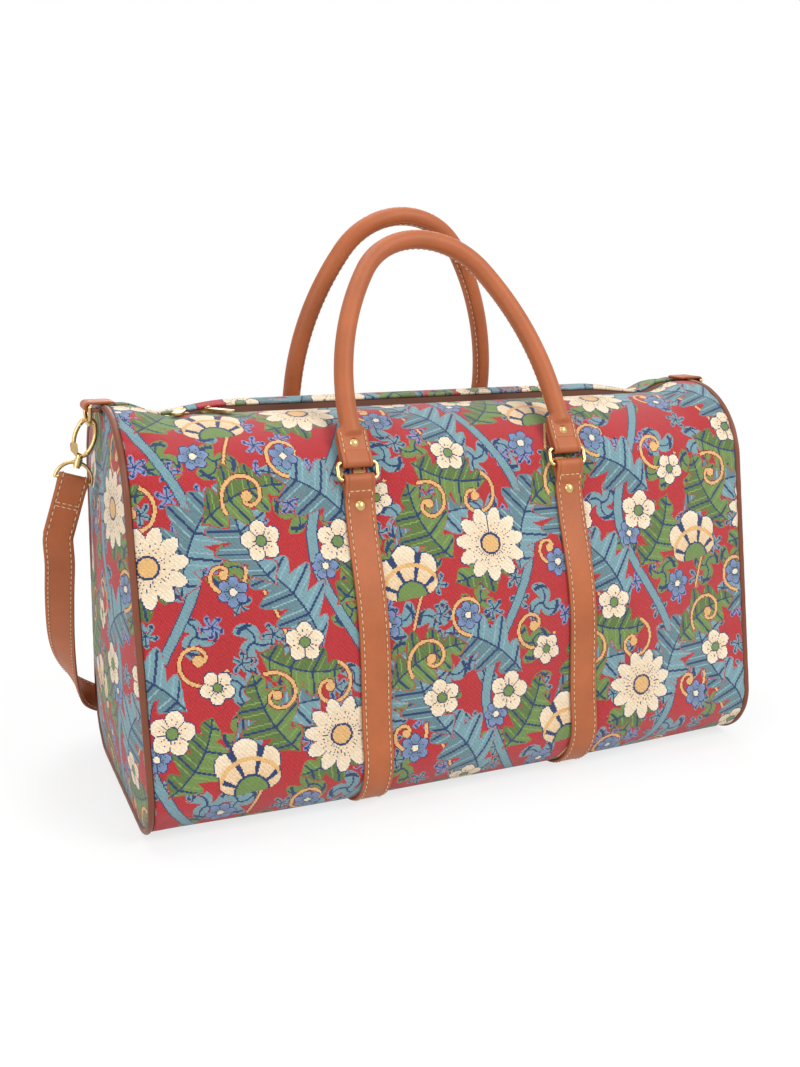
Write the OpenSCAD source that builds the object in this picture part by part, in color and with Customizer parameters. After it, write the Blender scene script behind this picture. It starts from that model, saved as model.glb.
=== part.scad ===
// Tapestry travel bag with rolled leather handles and a clip-on shoulder strap.
// Millimetres. X runs along the bag, the front faces -Y, Z is up, and the floor is at Z = 0.

/* [Bag body] */
// Length between the two end seams
bag_l = 520; // [460:5:580]
// Height of the cloth at the end seams
end_h = 305; // [285:5:325]
// How far the top sinks between the end seams
top_sag = 9; // [0:1:16]
// Width across the base at the end seams
base_w = 230; // [215:5:245]
// How much wider the base spreads at mid length
base_spread = 10; // [0:1:16]
// Radius of the lower corners
low_r = 42; // [36:1:48]
// Radius of the shoulders
top_r = 70; // [64:1:76]
// Half width of the flat top
flat_half = 14; // [13.8:0.2:17]
// How far the sides belly out at mid length
side_belly = 10; // [0:1:14]
// How far each end panel bulges outward
end_bulge = 10; // [2:1:11]
// Thickness of the tapestry cloth
cloth_t = 2.2; // [1.6:0.1:2.8]
// Thickness of the lining
lining_t = 0.8; // [0.6:0.1:1.2]
// Gap between the cloth and its lining
lining_gap = 1.2; // [0.8:0.1:2]
// Thickness of the base board
board_t = 3; // [2:0.5:5]

/* [Seams and piping] */
// Radius of the piping cord
pipe_r = 2.5; // [2:0.1:3]
// How far the piping stands proud of the cloth
pipe_out = 1.5; // [1:0.1:1.9]
// Gap left at sewn edges
seam_gap = 0.2; // [0.1:0.05:0.4]
// Gap between a piece and the surface it lies on
seat_gap = 0.3; // [0.2:0.05:0.4]

/* [Zip] */
// Half width of the slot in the cloth
zip_half = 7.5; // [6:0.5:9]
// Half width of the two tapes together
tape_half = 13.4; // [11:0.2:13.6]
// Thickness of a tape
tape_t = 0.9; // [0.6:0.1:1.2]
// Spacing of the teeth
tooth_pitch = 5; // [4:0.5:8]
// Height of the teeth
tooth_h = 1.6; // [1.2:0.1:2]
// Depth of a row of teeth
tooth_w = 2.6; // [2.2:0.1:3]
// Length of a slider
slider_l = 10; // [8:0.5:11]
// Width of a slider
slider_w = 9; // [8:0.5:11]
// Space between the two sliders
slider_gap = 10; // [9:0.5:16]
// Distance of the left slider from its end stop
slider_rest = 8; // [8:0.5:20]
// Length of a pull beyond its eye
pull_l = 27; // [20:1:28]
// Width of a pull
pull_w = 8; // [7:0.5:10]
// Thickness of a pull
pull_t = 1.6; // [1.2:0.1:1.8]
// Direction in which the left pull lies
left_pull_turn = -112; // [-150:1:-100]
// Direction in which the right pull lies
right_pull_turn = -60; // [-75:1:-40]

/* [Body straps] */
// Distance of each body strap from the middle of the bag
strap_x = 90; // [75:1:110]
// Width of the body straps
strap_w = 24; // [20:1:28]
// Thickness of the body straps
strap_t = 2.4; // [1.8:0.1:2.8]
// Length of the strap end that is folded back and sewn
tail_l = 11; // [10:1:13]
// Distance of the strap rivet below the ring
rivet_drop = 19; // [19:0.5:36]
// Angle up the shoulder at which the rings sit
ring_angle = 20; // [17:1:26]
// Radius of the ring wire
bar_r = 1.6; // [1.2:0.1:2]
// Running gap round the ring wire
bar_clear = 0.3; // [0.2:0.05:0.4]
// Distance between the two bars of a ring
bar_gap = 12.5; // [12:0.5:16]
// Corner radius of a ring
ring_corner = 3.4; // [3:0.2:5]

/* [Handles] */
// Height of a handle from ring bar to top of the arch
handle_drop = 187; // [170:1:200]
// Radius of the top of a handle's arch
arch_r = 62; // [56:1:68]
// Radius of the rolled handle
roll_r = 7.5; // [6:0.5:8.5]
// Inward lean of the front handle
front_lean = 29; // [22:1:30]
// Inward lean of the back handle
back_lean = 12; // [8:1:14]
// Width of a handle tab
tab_w = 24; // [20:1:28]
// Length of a handle tab above the ring bar
tab_l = 28; // [26:1:32]
// Thickness of a handle tab
tab_t = 5; // [4:0.5:6]
// Radius of the rounded tab corners
tab_corner = 6; // [3:0.5:9]
// Thickness of the tab leather round the ring bar
tab_wrap_t = 2.2; // [1.6:0.1:2.6]
// Length over which the roll opens out on the tab
flare_l = 12; // [10:1:16]
// Radius of a rivet head
rivet_r = 4; // [3:0.5:5]
// Height of a rivet head
rivet_h = 1.8; // [1.2:0.1:2.4]

/* [End rings and hooks] */
// How far the end ring hangs beyond the end seam
tab_reach = 11; // [10:0.5:15]
// Length of the end tab on the top of the bag
end_tab_l = 15; // [10:1:16]
// Width of an end tab
end_tab_w = 22; // [18:1:22.4]
// Thickness of the end tab leather
end_tab_t = 2; // [1.6:0.1:2.4]
// Wire radius of the end rings
d_wire_r = 1.5; // [1.2:0.1:1.7]
// Outward slant of the hooks
hook_slant = 18; // [12:1:24]
// Half height of a hook bow
hook_half_h = 14; // [13:0.5:17]
// Half width of a hook bow
hook_half_w = 7.2; // [6.6:0.2:8]
// Radius of the ends of a hook bow
hook_end_r = 5.2; // [4.8:0.1:5.6]
// Wire radius of a hook
hook_wire_r = 1.7; // [1.4:0.1:1.8]
// Gap between hook and end ring
hook_gap = 0.6; // [0.4:0.1:0.8]
// Half angle that the gate takes out of the bow
gate_angle = 17; // [14:0.5:18]
// Radius of the swivel post
post_r = 1.2; // [1:0.1:1.4]
// Running gap at the swivel post and gate pin
pin_clear = 0.1; // [0.08:0.02:0.2]
// Length of the swivel boss on the strap ring
boss_l = 5; // [4:0.5:7]
// Radius of the swivel boss
boss_r = 3; // [2.6:0.1:3.6]

/* [Shoulder strap] */
// Width of the shoulder strap
shoulder_w = 22; // [18:1:24]
// Thickness of the shoulder strap
shoulder_t = 2.2; // [1.6:0.1:2.6]
// Wire radius of the strap rings
strap_wire_r = 1.4; // [1.2:0.1:1.7]
// Length of the strap end that is folded back
fold_l = 44; // [30:1:50]
// Clear distance between the back of the bag and the strap
strap_clear = 5; // [3:1:30]
// Height of the strap's lower edge above the floor
strap_low = 5; // [1:1:20]

/* [Hidden] */
$fn = 48;

tan_leather = "peru";
brown_leather = "sienna";
red_cloth = "indianred";
gold = "gold";

// Cloth: the base lies on the body straps, which touch the floor
base_z = strap_t + seat_gap;
end_half = bag_l / 2;
pipe_in = pipe_r - pipe_out;
wrap_half = end_half - pipe_r - seam_gap;
sag_start = 16;
sag_run = 30;
belly_run = 150;
n_top = 7;
n_side = 8;
n_low = 7;
n_rows = 5;
n_pipe = 8;
end_off = -(pipe_in + pipe_r + seam_gap);
lining_off = -(cloth_t + lining_gap);

// Zip levels and the straight stretch that carries the teeth
zip_top = base_z + end_h - top_sag - cloth_t - seam_gap;
chain_half = end_half - sag_start - sag_run;
tape_in = 0.4;
stop_l = 3;
plate_t = 1.4;
ear_t = 2.2;
ear_rise = 1.9;
eye_r = 0.95;
eye_wall = 1.1;
pull_droop = 0;
pull_arm = 1.4;
rib_r = 0.35;
plate_z = zip_top + tooth_h + seat_gap;
eye_z = plate_z + plate_t + ear_rise;
left_slider_x = slider_rest + slider_l / 2 - chain_half;
right_slider_x = left_slider_x + slider_l + slider_gap;

// Ring bars in the front half, as [y, z]
strap_off = seat_gap + strap_t;
strap_loop_r = bar_r + bar_clear + strap_t;
tab_loop_r = bar_r + bar_clear + tab_wrap_t;
shoulder_c = [-flat_half, base_z + end_h - top_sag - top_r];
bar_turn = 180 - ring_angle;
fold_turn = 1.5;
low_bar = shoulder_c + (top_r + seat_gap + strap_loop_r) * [cos(bar_turn), sin(bar_turn)];
high_bar = low_bar + bar_gap * [sin(ring_angle), cos(ring_angle)];
ring_half = strap_w / 2 + seam_gap + ring_corner;

// Handle arch: a round top between two wider arcs that end upright on the tabs
roll_z = tab_l + flare_l / 3;
arch_in = strap_x - arch_r;
arch_up = handle_drop - roll_z - arch_r;
arch_step = (arch_in * arch_in + arch_up * arch_up) / (2 * arch_in);
leg_r = arch_step + arch_r;
leg_a = atan2(arch_up, arch_step - arch_in);
arch_lap = 0.5;

// End rings and hooks, in a frame at the lowest point of the end ring
end_loop_r = d_wire_r + bar_clear + end_tab_t;
end_tab_z = base_z + end_h + pipe_out + seat_gap;
d_ring_r = norm([end_tab_w / 2, end_loop_r]) + d_wire_r + seat_gap;
d_ring_x = end_half + tab_reach;
d_ring_z = end_tab_z + end_tab_t - end_loop_r;
hook_top = d_wire_r + hook_wire_r + hook_gap;
hook_c = hook_top - hook_half_h;
hook_side_r = (pow(hook_half_w, 2) + pow(hook_half_h - hook_end_r, 2) - pow(hook_end_r, 2))
  / (2 * (hook_half_w - hook_end_r));
hook_side_a = asin((hook_half_h - hook_end_r) / (hook_side_r - hook_end_r));
gate_r = hook_wire_r - 0.2;
gate_pin_r = 0.7;
gate_gap = 0.4;
bead = 0.2;
cheek_t = 0.8;
cheek_r = 2.3;
gate_pin = [hook_half_w - hook_side_r + hook_side_r * cos(gate_angle),
  hook_c - hook_side_r * sin(gate_angle)];
gate_reach = 2 * hook_side_r * sin(gate_angle);
cheek_root = [hook_half_w - hook_side_r + hook_side_r * cos(hook_side_a),
  hook_c - hook_side_r * sin(hook_side_a)];
collar_l = 1;
boss_top = hook_c - hook_half_h - hook_wire_r - collar_l;
head_l = 1.4;
strap_loop_out = strap_wire_r + bar_clear + shoulder_t;
strap_ring_r = norm([shoulder_w / 2, strap_loop_out]) + strap_wire_r + seat_gap;
strap_bar = boss_top - boss_l / 2 - strap_ring_r;

// Left half of the shoulder strap's route: [reach beyond the end, share of depth, share of height]
back_y = base_w / 2 + base_spread / 2 + strap_off + strap_clear;
fold_z = strap_bar - fold_l;
layer = shoulder_t / 2 + 0.1;
loop_turn = strap_wire_r + bar_clear + shoulder_t / 2;
route = [[35.5, 0.06, 0.858], [35.5, 0.2, 0.683], [32.5, 0.4, 0.497], [26, 0.64, 0.322],
  [15.6, 0.86, 0.18], [0, 0.97, 0.082], [-36, 1, 0.027], [-90, 1, 0]];
n_span = 3;

function smooth(t) = let (u = min(1, max(0, t))) u * u * (3 - 2 * u);
function flip(list) = [for (i = [len(list) - 1:-1:0]) list[i]];
function unit(v) = v / norm(v);

// Cross-section at x: [height, width, belly]
function section(x) = let (
    d = end_half - abs(x),
    s = smooth((d - sag_start) / sag_run),
    b = smooth(d / belly_run))
  [end_h - top_sag * s, base_w + base_spread * b, side_belly * b];
middle = section(0);
ends = section(end_half);

// Angle of the straight side's normal, which touches the shoulder and the lower corner
function low_c(s) = [-(s[1] / 2 - low_r), base_z + low_r];
function high_c(s) = [-flat_half, base_z + s[0] - top_r];
function side_turn(s) = let (d = high_c(s) - low_c(s))
  atan2(d[1], d[0]) + acos((low_r - top_r) / norm(d));

// Share of the belly at step i down the side
function belly(i) = pow(sin(180 * i / n_side), 2);

// Front outline of a section, moved outward by off, from angle a0 on the shoulder to the base
function front_outline(s, off, a0 = 90) = let (
    a = side_turn(s),
    n = [cos(a), sin(a)],
    p = high_c(s) + (top_r + off) * n,
    q = low_c(s) + (low_r + off) * n)
  concat(
    [for (i = [0:n_top]) let (t = a0 + (a - a0) * i / n_top)
      high_c(s) + (top_r + off) * [cos(t), sin(t)]],
    [for (i = [1:n_side - 1]) p + (q - p) * i / n_side + s[2] * belly(i) * n],
    [for (i = [0:n_low]) let (t = a + (270 - a) * i / n_low)
      low_c(s) + (low_r + off) * [cos(t), sin(t)]]);

function mirrored(list) = [for (p = flip(list)) [-p[0], p[1]]];
function outline(s, off) = concat(front_outline(s, off), mirrored(front_outline(s, off)));

// Looser outline of the lining, through every second point
function lining_outline(s, off) = let (
    f = front_outline(s, off),
    h = [for (i = [0:2:len(f) - 1]) f[i]])
  concat(h, mirrored(h));

// Point on the middle section, a distance below the ring bar and moved outward by off, with the
// angle of its normal
function strap_point(drop, off) = let (
    a = side_turn(middle),
    n = [cos(a), sin(a)],
    arc = (a - bar_turn) * PI / 180 * top_r,
    p = high_c(middle) + (top_r + off) * n,
    q = low_c(middle) + (low_r + off) * n,
    t = (drop - arc) / norm(q - p) * n_side,
    k = floor(t),
    rise = middle[2] * (belly(k + 1) - belly(k)),
    b = bar_turn + drop / top_r * 180 / PI)
  drop < arc ? concat(high_c(middle) + (top_r + off) * [cos(b), sin(b)], b)
    : concat(p + (q - p) * t / n_side + (middle[2] * belly(k) + rise * (t - k)) * n,
      a - atan(rise * n_side / norm(q - p)));

function strap_face(drop, off) = let (p = strap_point(drop, off)) [p[0], p[1]];

// Where the cross-sections stand along the bag
function stations(half) = let (
    inner = sag_start + sag_run,
    run = concat([sag_start / 2], [for (i = [0:4]) sag_start + sag_run * i / 4],
      [for (i = [1:3]) inner + (belly_run - inner) * i / 3]),
    left = concat([-half], [for (d = run) d - end_half]))
  concat(left, [for (x = flip(left)) -x]);

function point_at(x, p) = [x, p[0], p[1]];

// Thin shell between outer and inner open outlines of the same number of points, one pair for each x
module shell(xs, outer, inner) {
  k = len(outer[0]);
  m = 2 * k;
  last = len(xs) - 1;
  points = [for (i = [0:last]) each concat([for (p = outer[i]) point_at(xs[i], p)],
    [for (p = flip(inner[i])) point_at(xs[i], p)])];
  sides = [for (i = [0:last - 1], j = [0:m - 1]) let (a = i * m + j, b = i * m + (j + 1) % m)
    each [[a, b + m, b], [a, a + m, b + m]]];
  caps = [for (j = [0:k - 2]) each [[j, m - 2 - j, m - 1 - j], [j, j + 1, m - 2 - j]]];
  far = [for (f = caps) [f[0] + last * m, f[2] + last * m, f[1] + last * m]];
  polyhedron(points, concat(sides, caps, far));
}

function panel_outline(s, off) = concat([[-zip_half, base_z + s[0] + off]], front_outline(s, off),
  [[-seam_gap / 2, base_z - off]]);

// Front half of the cloth, from the zip over the shoulder and down to the seam under the base
module cloth_panel() {
  xs = stations(wrap_half);
  shell(xs,
    [for (x = xs) panel_outline(section(x), 0)],
    [for (x = xs) panel_outline(section(x), -cloth_t)]);
}

// Bulged end panel at +X
module end_panel() {
  rim = outline(ends, end_off);
  m = len(rim);
  c = [0, base_z + end_h / 2];
  x0 = end_half + cloth_t / 2;
  function row(dx, r) = let (u = 1 - r / n_rows)
    [for (p = rim) point_at(x0 + dx + end_bulge * (1 - u * u), c + (p - c) * u)];
  function face(dx) = concat(
    [for (r = [0:n_rows - 1]) each row(dx, r)],
    [point_at(x0 + dx + end_bulge, c)]);
  n = n_rows * m + 1;
  skin = [for (r = [0:n_rows - 1], j = [0:m - 1]) let (a = r * m + j, b = r * m + (j + 1) % m)
    each r < n_rows - 1 ? [[a, b + m, b], [a, a + m, b + m]] : [[a, n - 1, b]]];
  back = [for (f = skin) flip(f) + [n, n, n]];
  edge = [for (j = [0:m - 1]) let (b = (j + 1) % m) each [[j, n + b, n + j], [j, b, n + b]]];
  polyhedron(concat(face(0), face(-cloth_t)), concat(skin, back, edge));
}

// Piping cord round the end seam at +X
module piping() {
  path = outline(ends, -pipe_in);
  m = len(path);
  points = [for (j = [0:m - 1]) let (
      t = unit(path[(j + 1) % m] - path[(j + m - 1) % m]),
      n = [t[1], -t[0]])
    for (i = [0:n_pipe - 1]) let (a = 360 * i / n_pipe)
      point_at(end_half + pipe_r * sin(a), path[j] + pipe_r * cos(a) * n)];
  polyhedron(points, [for (j = [0:m - 1], i = [0:n_pipe - 1]) let (
      a = j * n_pipe + i,
      b = j * n_pipe + (i + 1) % n_pipe,
      c = ((j + 1) % m) * n_pipe)
    each [[a, b, c + b % n_pipe], [a, c + b % n_pipe, c + i]]]);
}

// Extrusion of an outline in the YZ plane, centred on x
module across(x, w) {
  translate([x - w / 2, 0, 0])
    rotate([90, 0, 90])
      linear_extrude(w)
        children();
}

module lining_end() {
  across(end_half - cloth_t / 2 - seat_gap - lining_t / 2, lining_t)
    polygon(outline(ends, end_off));
}

// Front zip tape, sewn under the edge of the cloth along its whole length
module zip_tape() {
  xs = stations(wrap_half);
  function strip(x, dz) = let (z = base_z + section(x)[0] - cloth_t - seam_gap - dz)
    [[-tape_in, z], [-tape_half, z]];
  shell(xs, [for (x = xs) strip(x, 0)], [for (x = xs) strip(x, tape_t)]);
}

// Comb of teeth on the front tape; its neighbour's teeth stand in the gaps
module zip_teeth(shift) {
  reach = 0.7;
  count = floor(2 * (chain_half - stop_l) / tooth_pitch) - 1;
  x0 = -count * tooth_pitch / 2 + shift;
  half = tooth_pitch / 4 - 0.2;
  comb = [for (i = [0:count - 1]) let (x = x0 + (i + 0.5) * tooth_pitch)
    each [[x - half, -reach], [x - half, reach], [x + half, reach], [x + half, -reach]]];
  translate([0, 0, zip_top])
    linear_extrude(tooth_h)
      polygon(concat([[x0, -reach], [x0, -tooth_w], [x0 + count * tooth_pitch, -tooth_w],
        [x0 + count * tooth_pitch, -reach]], flip(comb)));
}

// Slider that straddles both rows of teeth, with an ear that carries the pull
module zip_slider(x, turn) {
  flange = 1.2;
  translate([x, 0, plate_z]) {
    linear_extrude(plate_t)
      union() {
        translate([-slider_l / 2, -slider_w / 2])
          square([slider_l - slider_w / 4, slider_w]);
        translate([slider_l / 2 - slider_w / 4, -slider_w / 4])
          square([slider_w / 4, slider_w / 2]);
      }
    for (s = [-1, 1])
      translate([-slider_l / 2, s * (slider_w / 2 - flange / 2) - flange / 2, -tooth_h])
        cube([slider_l - slider_w / 4, flange, tooth_h + plate_t / 2]);
    rotate([0, 0, turn])
      difference() {
        union() {
          translate([0, 0, plate_t + ear_rise])
            rotate([90, 0, 0])
              cylinder(r = eye_r + eye_wall, h = ear_t, center = true);
          translate([-eye_r - eye_wall, -ear_t / 2, plate_t / 2])
            cube([2 * (eye_r + eye_wall), ear_t, ear_rise + plate_t / 2]);
        }
        translate([0, 0, plate_t + ear_rise])
          rotate([90, 0, 0])
            cylinder(r = eye_r + pin_clear, h = ear_t + 2, center = true);
      }
  }
}

// Forked pull along X that turns on a pin in the slider's ear, with ribs across its round tip
module pull_shape() {
  gap = ear_t + 2 * seat_gap;
  start = eye_r + eye_wall + seat_gap + 0.6;
  rotate([90, 0, 0])
    cylinder(r = eye_r, h = gap + pull_arm, center = true);
  for (s = [-1, 1])
    translate([0, s * (gap / 2 + pull_arm / 2), 0]) {
      rotate([90, 0, 0])
        cylinder(r = pull_t / 2 + 0.4, h = pull_arm, center = true);
      translate([0, -pull_arm / 2, -pull_t / 2])
        cube([start + 1, pull_arm, pull_t]);
    }
  difference() {
    translate([0, 0, -pull_t / 2])
      linear_extrude(pull_t)
        union() {
          translate([start, -pull_w / 2])
            square([pull_l - pull_w / 2 - start, pull_w]);
          translate([pull_l - pull_w / 2, 0])
            circle(r = pull_w / 2);
        }
    for (i = [0:3])
      translate([pull_l - pull_w / 2 - 1.5 * i, 0, pull_t / 2])
        rotate([90, 0, 0])
          cylinder(r = rib_r, h = pull_w + 2, center = true);
  }
}

module turned_pull(x, turn) {
  translate([x, 0, eye_z])
    rotate([0, pull_droop, turn])
      pull_shape();
}

// Strap from the front ring under the base to the back ring, with both ends folded round the rings
module body_strap(x) {
  start = bar_turn - fold_turn;
  outer = front_outline(middle, strap_off, start);
  inner = front_outline(middle, seat_gap, start);
  n = [cos(bar_turn), sin(bar_turn)];
  tail = strap_face(tail_l, strap_off);
  root = strap_face(0, strap_off);
  across(x, strap_w)
    difference() {
      union() {
        polygon(concat(outer, mirrored(outer), flip(mirrored(inner)), flip(inner)));
        for (s = [0, 1])
          mirror([s, 0]) {
            translate(low_bar)
              circle(r = strap_loop_r);
            polygon([low_bar + strap_loop_r * n, tail, root]);
          }
      }
      for (s = [0, 1])
        mirror([s, 0])
          translate(low_bar)
            circle(r = bar_r + bar_clear);
    }
}

// Domed rivet head standing on the XY plane
module rivet() {
  dome = (rivet_r * rivet_r + rivet_h * rivet_h) / (2 * rivet_h);
  rotate_extrude()
    intersection() {
      translate([0, rivet_h - dome])
        circle(r = dome);
      square([rivet_r, rivet_h]);
    }
}

module strap_rivet_set() {
  p = strap_point(rivet_drop, strap_off + seam_gap);
  for (x = [-strap_x, strap_x], s = [0, 1])
    mirror([0, s, 0])
      translate([x, p[0], p[1]])
        rotate([p[2] - 90, 0, 0])
          rivet();
}

// Frames on the two bars of a front ring: local Z runs up the ring or the handle
module on_low_bar() {
  translate([0, low_bar[0], low_bar[1]])
    rotate([-ring_angle, 0, 0])
      children();
}

module on_high_bar(lean) {
  translate([0, high_bar[0], high_bar[1]])
    rotate([-lean, 0, 0])
      children();
}

module bar_x(r, l) {
  rotate([0, 90, 0])
    cylinder(r = r, h = l, center = true);
}

// Ring of round wire with two long bars and rounded corners
module ring(x) {
  translate([x, 0, 0])
    on_low_bar() {
      for (z = [0, bar_gap])
        translate([0, 0, z])
          bar_x(bar_r, 2 * (ring_half - ring_corner));
      for (s = [-1, 1]) {
        translate([s * ring_half, 0, ring_corner])
          cylinder(r = bar_r, h = bar_gap - 2 * ring_corner);
        for (t = [0, 1])
          translate([s * (ring_half - ring_corner), 0, t * bar_gap + (1 - 2 * t) * ring_corner])
            rotate([90, 0, 0])
              rotate([0, 0, s > 0 ? (t > 0 ? 0 : 270) : (t > 0 ? 90 : 180)])
                rotate_extrude(angle = 90)
                  translate([ring_corner, 0])
                    circle(r = bar_r);
      }
    }
}

// Flat tab of a handle, folded round the ring bar
module handle_tab() {
  rotate([90, 0, 0])
    translate([0, 0, -tab_t / 2])
      linear_extrude(tab_t)
        union() {
          translate([-tab_w / 2, 0])
            square([tab_w, tab_l - tab_corner]);
          translate([-tab_w / 2 + tab_corner, 0])
            square([tab_w - 2 * tab_corner, tab_l]);
          for (s = [-1, 1])
            translate([s * (tab_w / 2 - tab_corner), tab_l - tab_corner])
              circle(r = tab_corner);
        }
}

// Rolled handle: arch and legs of the roll, which open out on the two tabs
module handle() {
  difference() {
    union() {
      wire_arc(0, handle_drop - arch_r, arch_r, leg_a, 180 - leg_a, roll_r + bead);
      wire_arc(strap_x - leg_r, roll_z, leg_r, -arch_lap, leg_a + arch_lap, roll_r);
      wire_arc(leg_r - strap_x, roll_z, leg_r, 180 - leg_a - arch_lap, 180 + arch_lap, roll_r);
      for (s = [-1, 1])
        translate([s * strap_x, 0, 0]) {
          hull() {
            translate([0, 0, roll_z - 0.5])
              cylinder(r = roll_r - bead, h = 0.5);
            translate([-roll_r, -tab_t / 2 - 0.4, roll_z - flare_l])
              cube([2 * roll_r, tab_t + 0.8, 0.5]);
          }
          handle_tab();
          bar_x(tab_loop_r, tab_w);
        }
    }
    for (s = [-1, 1])
      translate([s * strap_x, 0, 0])
        bar_x(bar_r + bar_clear, tab_w + 2);
  }
}

module handle_rivet_set() {
  for (x = [-strap_x, strap_x])
    translate([x, -tab_t / 2 - seam_gap, roll_z - flare_l - rivet_r - 1])
      rotate([90, 0, 0])
        rivet();
}

// Leather tab on the top of the bag at +X, folded round the bar of the end ring
module end_tab() {
  x0 = end_half - end_tab_l;
  foot = end_half - pipe_r - seat_gap;
  translate([0, end_tab_w / 2, 0])
    rotate([90, 0, 0])
      linear_extrude(end_tab_w)
        difference() {
          union() {
            translate([x0, end_tab_z])
              square([d_ring_x - x0, end_tab_t]);
            translate([x0, base_z + end_h + seat_gap])
              square([foot - x0, pipe_out + end_tab_t / 2]);
            translate([end_half + pipe_r + seat_gap, d_ring_z - end_loop_r])
              square([d_ring_x - end_half - pipe_r - seat_gap, end_tab_t]);
            translate([d_ring_x, d_ring_z])
              circle(r = end_loop_r);
          }
          translate([d_ring_x, d_ring_z])
            circle(r = d_wire_r + bar_clear);
        }
}

// Arc of round wire in the XZ plane
module wire_arc(x, z, r, a0, a1, wire) {
  translate([x, 0, z])
    rotate([90, 0, 0])
      rotate([0, 0, a0])
        rotate_extrude(angle = a1 - a0)
          translate([r, 0])
            circle(r = wire);
}

// D-shaped ring in the XZ plane: bow below or above a straight bar
module bow_ring(r, wire, a0) {
  wire_arc(0, 0, r, a0, a0 + 180, wire);
  bar_x(wire, 2 * r);
  for (s = [-1, 1])
    translate([s * r, 0, 0])
      sphere(r = wire);
}

module d_ring() {
  translate([d_ring_x, 0, d_ring_z])
    rotate([0, 0, 90])
      bow_ring(d_ring_r, d_wire_r, 180);
}

module on_hook() {
  translate([d_ring_x, 0, d_ring_z - d_ring_r])
    rotate([0, -hook_slant, 0])
      children();
}

module pin_y(x, z, r, l) {
  translate([x, 0, z])
    rotate([90, 0, 0])
      cylinder(r = r, h = l, center = true);
}

// Snap hook: oval bow open on its outer side for the gate, cheeks with the gate's pin, swivel post
module hook() {
  side = hook_half_w - hook_side_r;
  end_rise = hook_half_h - hook_end_r;
  trim = 0.3 * 180 / PI;
  end_trim = trim / hook_end_r;
  side_trim = trim / hook_side_r;
  end_a = hook_side_a + end_trim;
  side_a = hook_side_a - side_trim;
  on_hook() {
    wire_arc(0, hook_c + end_rise, hook_end_r, end_a, 180 - end_a, hook_wire_r);
    wire_arc(0, hook_c - end_rise, hook_end_r, 180 + end_a, 360 - hook_side_a, hook_wire_r);
    wire_arc(-side, hook_c, hook_side_r, 180 - side_a, 180 + side_a, hook_wire_r);
    difference() {
      wire_arc(side, hook_c, hook_side_r, gate_angle - 3, side_a, hook_wire_r);
      pin_y(gate_pin[0], gate_pin[1], gate_reach + gate_gap, 4 * hook_wire_r);
    }
    for (p = [[cheek_root[0], 2 * hook_c - cheek_root[1]], [-cheek_root[0], cheek_root[1]],
        [-cheek_root[0], 2 * hook_c - cheek_root[1]]])
      translate([p[0], 0, p[1]])
        sphere(r = hook_wire_r + bead);
    pin_y(cheek_root[0], cheek_root[1], hook_wire_r + bead, 2 * (hook_wire_r + seat_gap) + cheek_t);
    for (s = [-1, 1])
      translate([0, s * (hook_wire_r + seat_gap + cheek_t / 2), 0])
        hull() {
          pin_y(gate_pin[0], gate_pin[1], cheek_r, cheek_t, $fn = 32);
          pin_y(cheek_root[0], cheek_root[1], cheek_r, cheek_t, $fn = 32);
        }
    pin_y(gate_pin[0], gate_pin[1], gate_pin_r, 2 * (hook_wire_r + seat_gap) + cheek_t);
    translate([0, 0, boss_top + seat_gap])
      cylinder(r = boss_r - 0.4, h = hook_wire_r + collar_l);
    translate([0, 0, boss_top - boss_l - seat_gap - head_l])
      cylinder(r = post_r, h = boss_l + head_l + collar_l + 2 * seat_gap);
    translate([0, 0, boss_top - boss_l - seat_gap - head_l])
      cylinder(r = boss_r - 0.6, h = head_l);
  }
}

module hook_gate() {
  side = hook_half_w - hook_side_r;
  on_hook()
    difference() {
      union() {
        intersection() {
          wire_arc(side, hook_c, hook_side_r, -gate_angle, gate_angle + 3, gate_r);
          pin_y(gate_pin[0], gate_pin[1], gate_reach, 4 * hook_wire_r);
        }
        pin_y(gate_pin[0], gate_pin[1], gate_r, 2 * hook_wire_r);
      }
      pin_y(gate_pin[0], gate_pin[1], gate_pin_r + pin_clear, 2 * hook_wire_r + 2);
    }
}

// D-shaped ring that the shoulder strap is folded round, with a drilled boss for the swivel post
module strap_ring() {
  on_hook()
    difference() {
      union() {
        translate([0, 0, strap_bar])
          bow_ring(strap_ring_r, strap_wire_r, 0);
        translate([0, 0, boss_top - boss_l])
          cylinder(r = boss_r, h = boss_l);
      }
      translate([0, 0, boss_top - boss_l - 1])
        cylinder(r = post_r + pin_clear, h = boss_l + 2);
    }
}

// Point [x, y, z] of the left hook's frame in the bag's frame
function left_hook_point(p) = [
  -(d_ring_x + p[0] * cos(hook_slant) - p[2] * sin(hook_slant)),
  p[1],
  d_ring_z - d_ring_r + p[0] * sin(hook_slant) + p[2] * cos(hook_slant)];

// Centre line of the strap's left half: folded end, loop round the ring and the long run to the middle
folded = concat(
  [for (z = [fold_z, (fold_z + strap_bar) / 2, strap_bar - 12, strap_bar - 6])
    [0, z > strap_bar - 10 ? (layer + loop_turn) / 2 : layer, z]],
  [for (i = [0:6]) [0, loop_turn * cos(30 * i), strap_bar + loop_turn * sin(30 * i)]],
  [for (z = [strap_bar - 6, strap_bar - 12, (fold_z + strap_bar) / 2])
    [0, z > strap_bar - 10 ? -(layer + loop_turn) / 2 : -layer, z]]);
fold_end = left_hook_point([0, -layer, fold_z]);
run_z = shoulder_w / 2 + strap_low;
knots = concat(
  [left_hook_point([0, -layer, (fold_z + strap_bar) / 2]), fold_end],
  [for (p = route) [-(end_half + p[0]), p[1] * back_y, run_z + (fold_end[2] - run_z) * p[2]]],
  [[-end_half / 3, back_y, run_z], [0, back_y, run_z], [end_half / 3, back_y, run_z]]);

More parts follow.
